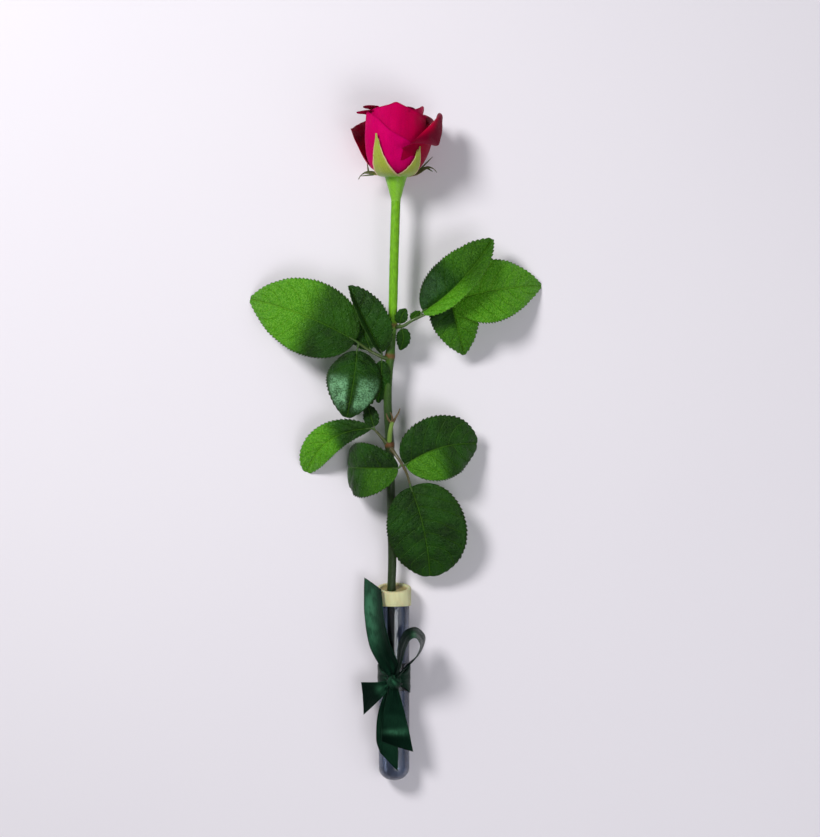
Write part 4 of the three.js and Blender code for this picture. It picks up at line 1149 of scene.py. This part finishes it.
def makeLeafFinish():
    finish, tree = newFinish(
        "leafGloss", Roughness=0.3, Specular_IOR_Level=0.3, Specular_Tint=paint(205, 255, 195)
    )
    weave = mapOf(tree, "weave")
    shareAcross, shareAlong, tone = partsOf(mapOf(tree, "place"))
    look = paintsOf(leafLook)
    reach, edge = calc("ABSOLUTE", partsOf(weave)[0]), calc("ABSOLUTE", shareAcross)
    swing = calc("ABSOLUTE", calc("SINE", times(numberOf(tree), math.pi)))
    sideVein = times(span(swing, 0.0, 0.17, 1.0, 0.0), span(edge, 0.86, 1.0, 1.0, 0.0))
    midrib = span(reach, 0.25, 0.75, 1.0, 0.0)
    lines = calc("MAXIMUM", times(sideVein, 0.75), midrib)
    net = useGroup(fineVeins, Map=weave, Size=2.0, Width=0.14)
    small = useGroup(fineVeins, Map=weave, Size=0.8, Width=0.16)
    mottled = useGroup(patches, Map=weave, Size=22.0, Fine=2.4)
    flecks = useGroup(patches, Map=weave, Size=7.0, Fine=1.1)
    under = span(tone, 0.5, 0.9)
    # bright is painted light from each half's tone; a little random mottle is added to it below
    bright = span(tone, 0.0, 0.4)
    paintedLight = plus(times(bright, 0.85), times(mottled["Broad"], 0.05))
    paintedLight = plus(paintedLight, times(mottled["Mottle"], 0.04))
    # the shine lies on the middle of each half, and is broken up
    broad = times(span(edge, 0.1, 0.3), span(edge, 0.8, 0.97, 1.0, 0.0))
    broad = times(broad, span(shareAlong, 0.78, 0.95, 1.0, 0.0))
    shine = times(span(tone, -0.4, 0.0, 1.0, 0.0), broad)
    broken = span(flecks["Broad"], 0.2, 0.6, 0.2, 0.5)
    broken = plus(broken, span(flecks["Mottle"], 0.3, 0.8, 0.0, 0.6))
    shine = times(shine, broken, clamp=True)
    # painted highlights: small glints speckled over the painted-lit parts
    paintedGlints = times(bright, span(flecks["Mottle"], 0.3, 0.9, 0.0, 0.6))
    netted = calc("MAXIMUM", lines, net["Lines"])
    back = layered(look["under"], look, (netted, 0.4, "vein"))
    base = layered(
        look["dark"], look, (mottled["Broad"], 1, "green"), (paintedLight, 1, "light"), (shine, 1, "gleam"),
        (paintedGlints, 1, "glintGreen"), (times(net["Lines"], span(bright, 0.0, 1.0, 0.06, 0.16)), 1, "vein"),
        (times(lines, span(bright, 0.0, 1.0, 0.16, 0.4)), 1, "vein"),
        (span(edge, 0.965, 1.0, 0.0, 0.45), 1, "tooth"),
    )
    base = tint(under, base, back)
    roughness = plus(span(mottled["Mottle"], 0.0, 1.0, 0.3, 0.46), times(under, 0.3))
    height = plus(times(net["Height"], 0.5), times(small["Height"], 0.25))
    height = calc("SUBTRACT", height, times(lines, 0.8))
    return dress(finish, base, roughness, height, 0.0008, 0.9)


def makeStalkFinish():
    finish, tree = newFinish("leafStalk", Roughness=0.45, Coat_Weight=0.1)
    weave = mapOf(tree, "weave")
    look = paintsOf(leafLook)
    mottled = useGroup(patches, Map=stretch(weave, 1, 0.3), Size=5.0, Fine=0.8)
    blush = times(numberOf(tree), span(mottled["Broad"], 0.0, 1.0, 0.6, 1.0), clamp=True)
    base = layered(look["stalk"], look, (blush, 1, "stalkRed"), (mottled["Mottle"], 0.3, "dark"))
    ridges = cloud(stretch(weave, 1.5, 0.15))
    return dress(finish, base, span(mottled["Mottle"], 0.0, 1.0, 0.38, 0.55), ridges, 0.00025, 0.6)


def makeLeaf(node, facts, finishes, seed):
    shape = newShape()
    for number, leaflet in enumerate(facts["leaflets"]):
        addLeaflet(shape, leaflet, seed + number * 1.7)
    rachis = [Vector(p) for p in facts["rachis"]]
    rachis[0] = stemPointAt(rachis[0].y).lerp(rachis[0], 0.55)  # its root is sunk in the stem
    length = runsOf(rachis)[-1]

    def radiusAt(t, angle):  # it widens into a sheath where it clasps the stem, and has a groove on top
        groove = 0.22 * bell(angle - math.pi / 2, 0.6)
        return mix(1.4, 0.85, t) + 0.9 * bell(t * length, 5) - groove

    addBar(shape, lineThrough(rachis, 60), radiusAt, 16, seed, slot=1, detailAt=lambda t: facts["red"])
    keepAbove(shape, lambda x, y: 0.05)
    makePiece(shape, node.replace("_", "-") + "-blades", finishes, node)


leafFinishes = [makeLeafFinish(), makeStalkFinish()]
for number, (node, facts) in enumerate(leaves.items()):
    makeLeaf(node, facts, leafFinishes, 3.0 + number * 11)


# the ribbon: a band round the tube, the knot, one loop and four cut ends
ribbonLook = {
    "width": 22.0,
    "thickness": 0.35,
    "knot": -68.0,  # y
    "length": 400.0,  # all of it, laid out flat
    "pleat": 0.9,
    "wave": 0.5,
    "fray": 0.25,  # at the cut ends
    "colours": {
        "dark": (2, 6, 5),
        "satin": (2, 10, 8),
        "sheen": (68, 126, 94),
    },
}
# each strip's stations: the ribbon's middle, with y from the knot, and half its width as a vector; then where
# its painted sheen gleams: how far along, how far across, its reach along and across, its slant and its
# strength
ribbonStrips = {
    "upperLeft": (
        [((0.9, 2, 29.5), (3.6, 1, 0.4)), ((-2.2, 10, 31.5), (6.2, 2.2, 2)),
         ((-10.8, 28, 30), (7.6, 2.5, 4.5)), ((-15.4, 51, 25), (7.4, -0.5, 6.8)),
         ((-16.1, 74.5, 20.5), (6.8, -4.3, 6.5))],
        (0.8, -0.45, 0.25, 0.7, 0.05, 0.7),
    ),
    "lowerLeft": (
        [((-1.5, -2, 29), (0.5, 3, 0)), ((-10.8, -8, 28), (0, 6.8, -0.6)),
         ((-24.4, -15, 20), (-1, 12.4, -2))],
        (0.5, 0.2, 0.12, 0.5, 0.1, 0.3),
    ),
    "front": (
        [((-0.7, -4, 30), (3.4, 0, 0.4)), ((0.1, -19, 32), (7, -0.4, 0)),
         ((1.2, -36.4, 32), (10.6, -2.6, -1)), ((2.6, -51.5, 28.4), (12.4, -4.2, -1))],
        (0.74, -0.1, 0.05, 0.9, -0.07, 0.7),
    ),
    "back": (
        [((-2.2, -5, 28.6), (3.4, 0, -0.2)), ((-6.4, -26, 28), (6, -0.4, 0.6)),
         ((-5.4, -47, 27.4), (8.4, -2, 0.4)), ((-4, -63.5, 26.6), (7, -7.4, 0))],
        (0.5, 0.0, 0.2, 0.8, 0.0, 0.12),
    ),
    "loop": (
        [((1, 2, 30), (0.8, -0.5, 2.6)), ((4, 15, 36), (2, -1, 7)), ((6.6, 28, 39), (2.6, -1.6, 9.4)),
         ((11, 36, 40.5), (2, -2.6, 10)), ((17, 38, 40.5), (0, -3.4, 10.2)),
         ((22, 32, 39.5), (-2.2, -2.6, 10)), ((19, 21, 38), (-2.4, -2, 9)),
         ((9.6, 11, 34), (-1.6, -1.6, 6)), ((2, 2, 30), (-0.8, -0.6, 2.4))],
        (0.47, 0.5, 0.05, 0.7, 0.0, 0.6),
    ),
    "wrap": (  # the turn that ties the knot
        [((-4.6, 3, 26.5), (1.6, 2.2, 0)), ((-2.6, 2, 32), (1.5, 2.2, 0.4)), ((0.4, -1, 34), (1.4, 2.4, 0)),
         ((3.4, -3.6, 32), (1.5, 2.2, -0.4)), ((5, -5, 26.5), (1.6, 2.2, 0))],
        (0.5, 0, 0.2, 0.6, 0, 0.3),
    ),
}
knot = Vector((0, ribbonLook["knot"], 0))


def ribbonDepths(i, j):
    return (ribbonLook["thickness"] / 2,) * 2


def addStrip(shape, name, seed, rows=70, columns=18, pleated=(1, 0), curl=0.5):
    # pleated is how tightly each end is gathered: an end that isn't is free
    stations, (where, aside, reach, spread, slant, strength) = ribbonStrips[name]
    middles = [knot + Vector(middle) for middle, half in stations]
    halves = [Vector(half) for middle, half in stations]
    runs = runsOf([curveAt(middles, i / rows) for i in range(rows + 1)])

    def cellAt(t, u):
        middle, half = curveAt(middles, t), curveAt(halves, t)
        ahead = (curveAt(middles, min(1, t + 0.02)) - curveAt(middles, max(0, t - 0.02))).normalized()
        face = half.normalized().cross(ahead).normalized()
        run = runs[round(t * rows)]
        gather = pleated[0] * math.exp(-t * 5) + pleated[1] * math.exp(-(1 - t) * 5)
        fold = ribbonLook["pleat"] * gather * math.sin(u * 7.5 + seed)
        wave = ribbonLook["wave"] * ripple(u * 4, run, seed * 9, 11) * (1 - gather * 0.5)
        bend = curl * (u * u - 0.4) * half.length / 8
        lit = strength * bell(t - where - slant * u, reach) * bell(u - aside, spread)
        return middle + half * u + face * (fold + wave + bend), u * ribbonLook["width"] / 2, run, u, t, lit

    grid = makeGrid(rows, columns, cellAt)
    for end, inner, tightness in ((0, 1, pleated[0]), (-1, -2, pleated[1])):
        if tightness == 0:  # a free end is cut with scissors, not quite straight, and frays a little
            for j, cell in enumerate(grid[end]):
                away = (cell[0] - grid[inner][j][0]).normalized()
                push = ribbonLook["fray"] * ripple(j * 2.3, seed * 5, 0, 1)
                grid[end][j] = (cell[0] + away * push,) + cell[1:]
    addBlade(shape, grid, ribbonDepths, seed)
    return grid[-1]


def addBand(shape):
    inner = tubeRadius + 0.2
    thickness, width = ribbonLook["thickness"], ribbonLook["width"]

    def cellAt(t, u):
        turn = 2 * math.pi * t
        near = ease(math.cos(turn), 0.2, 1)  # 1 at the knot
        fold = 0.75 * ease(math.cos(turn), -0.4, 1) * (0.5 + 0.5 * math.sin(u * 9 + 0.8))
        crease = 0.12 * (1 + ripple(math.sin(turn) * 9, u * 9, math.cos(turn) * 9, 5))
        radius = inner + thickness + fold + crease
        z = max(vaseLook["axis"] + radius * math.cos(turn), thickness / 2 + 0.02)
        spot = knot + Vector((radius * math.sin(turn), u * mix(width / 2, 5, near), z))
        # a little painted sheen near the knot
        return spot, u * width / 2, turn * radius, u, t, 0.1 * near

    addBlade(shape, makeGrid(144, 16, cellAt), ribbonDepths, 9.0)


def addKnot(shape):
    # a small tight roll across the middle, with the folds of the ribbon drawn through it
    middle = knot + Vector((0, -1, vaseLook["axis"] + tubeRadius + 4.6))
    rows, sides, rings = 24, 36, []
    for i in range(rows + 1):
        lat = math.pi * i / rows
        ring = []
        for k in range(sides):
            lon = 2 * math.pi * k / sides
            way = Vector((math.sin(lat) * math.cos(lon), math.cos(lat), math.sin(lat) * math.sin(lon)))
            crease = 1 + 0.07 * math.sin(5 * lon + 3 * way.y) + 0.05 * ripple(*(way * 5), 2)
            spot = middle + Vector((way.x * 5.4, way.y * 5.6, way.z * 3.7)) * crease
            # the knot carries a little painted sheen
            ring.append(addPoint(shape, spot, (way.y * 11, lon * 5, 4), (way.y, lon / 6.3, 0), 0.15))
        rings.append(ring)
    addSkin(shape, rings, sides)
    addStrip(shape, "wrap", 6.0, rows=30, columns=12, pleated=(0.6, 0.6), curl=-1.6)


def makeSatin():
    finish, tree = newFinish(
        "ribbonSatin", Roughness=0.3, Anisotropic=0.6, Sheen_Weight=0.03, Sheen_Roughness=0.3,
        Sheen_Tint=paint(60, 170, 120), Specular_IOR_Level=0.2, Specular_Tint=paint(130, 255, 190),
    )
    weave = mapOf(tree, "weave")
    look = paintsOf(ribbonLook)
    threads = addNode(tree, "ShaderNodeTexWave", wave_type="BANDS", bands_direction="X", wave_profile="SIN")
    threads = feedAll(threads, Vector=weave, Scale=1.1, Distortion=0.6, Detail=2.0, Detail_Scale=1.5)["Fac"]
    fibre = cloud(stretch(weave, 4.0, 0.12), 1.0, 3.0, 0.6)
    mottled = useGroup(patches, Map=weave, Size=9.0, Fine=1.2)
    selvedge = span(calc("ABSOLUTE", partsOf(mapOf(tree, "place"))[0]), 0.93, 0.99)
    streaks = span(plus(fibre, times(mottled["Broad"], 0.4)), 0.35, 0.95, 0.25, 1.0)
    # painted sheen where each piece's detail number says it gleams; the selvedge is a touch lighter
    base = layered(
        look["dark"], look, (span(fibre, 0.35, 0.65), 1, "satin"), (mottled["Broad"], 0.35, "satin"),
        (selvedge, 0.08, "sheen"), (times(numberOf(tree), streaks), 1, "sheen"),
    )
    height = plus(plus(times(threads, 0.4), fibre), times(selvedge, 0.6))
    return dress(finish, base, span(fibre, 0.3, 0.7, 0.26, 0.42), height, 0.00012, 0.6)


def makeRibbon():
    shape = newShape()
    addBand(shape)
    for seed, name in enumerate(("upperLeft", "lowerLeft", "front", "back")):
        lastRow = addStrip(shape, name, seed + 1.0)
    addStrip(shape, "loop", 5.0, rows=120, pleated=(1, 1), curl=0.3)
    addKnot(shape)
    for k in range(5):  # loose threads at the back end's cut
        root = lastRow[-3 - 2 * k][0]
        drift = Vector((0.8 - 0.5 * k, -2.0 - 0.8 * k, 0.6 * ripple(k * 3, 0, 0, 1)))
        addBar(shape, lineThrough([root, root + drift * 0.5 + Vector((0.4, 0, 0.3)), root + drift], 8),
               lambda t, a: 0.13, 6, 7.0)
    ribbon = makePiece(shape, "satin_ribbon", [makeSatin()], "ribbon_bow")


makeRibbon()


# floor, light and camera
studio = {
    "cameraHeight": 1.8,
    "pixelsPerFrame": (820, 837),
    "millimetresPerPixel": 0.78,
    "level": 20,  # at which that scale holds, over the floor
    "floorSize": 8,
    "frameMiddle": (12.5, 135.3),  # what the middle of the photograph looks down on
    "key": dict(spot=(-0.8, 0.75, 1.25), size=0.5, power=21, tone=(1.0, 0.99, 0.97)),
    "fill": dict(spot=(1.0, -0.5, 1.2), size=1.2, power=3.5, tone=(0.95, 0.97, 1.0)),
    "top": dict(spot=(0.4, -0.5, 1.35), size=0.8, power=5.5, tone=(1.0, 1.0, 1.0)),
    "aim": (12.5, 135, 20),
    "sky": 0.19,
    "skyTone": (0.95, 0.97, 1.0, 1.0),
    "colours": {
        "floor": (232, 228, 236),
        "floorPatch": (222, 216, 228),
    },
}


def makeFloor():
    finish, tree = newFinish("palePaper", Specular_IOR_Level=0.2)
    spot = addNode(tree, "ShaderNodeTexCoord").outputs["Object"]
    look = paintsOf(studio)
    patch = span(cloud(spot, 3.0, 2.0), 0.3, 0.7, 0.0, 0.12)
    base = layered(look["floor"], look, (patch, 1, "floorPatch"))
    bpy.ops.mesh.primitive_plane_add(size=studio["floorSize"])
    floor = bpy.context.object
    floor.name = "paper_floor"
    floor.data.materials.append(dress(finish, base, 0.8, cloud(spot, 900.0), 0.0001, 0.3))


def addLight(name, spot, size, power, tone):
    light = bpy.data.lights.new(name, "AREA")
    light.shape = "DISK"
    light.size, light.energy, light.color = size, power, tone
    lamp = addObject(name, light)
    aim = home + Vector(studio["aim"]) * mm
    lamp.location = aim + Vector(spot)
    lamp.rotation_euler = (aim - lamp.location).to_track_quat("-Z", "Y").to_euler()


def makeSky():
    world = bpy.data.worlds.new("softRoom")
    world.use_nodes = True
    feedAll(world.node_tree.nodes["Background"], Color=studio["skyTone"], Strength=studio["sky"])
    bpy.context.scene.world = world


def makeCamera():
    lens = bpy.data.cameras.new("camera")
    seen = max(studio["pixelsPerFrame"]) * studio["millimetresPerPixel"] * mm  # the frame's long side
    lens.lens = lens.sensor_width * (studio["cameraHeight"] - studio["level"] * mm) / seen
    camera = addObject("camera", lens)
    x, y = studio["frameMiddle"]
    camera.location = home + Vector((x * mm, y * mm, studio["cameraHeight"]))
    bpy.context.scene.camera = camera


makeFloor()
for name in ("key", "fill", "top"):
    addLight(name, **studio[name])
makeSky()
makeCamera()
bpy.context.scene.view_settings.view_transform = "Standard"
print("floor, light and camera are set")
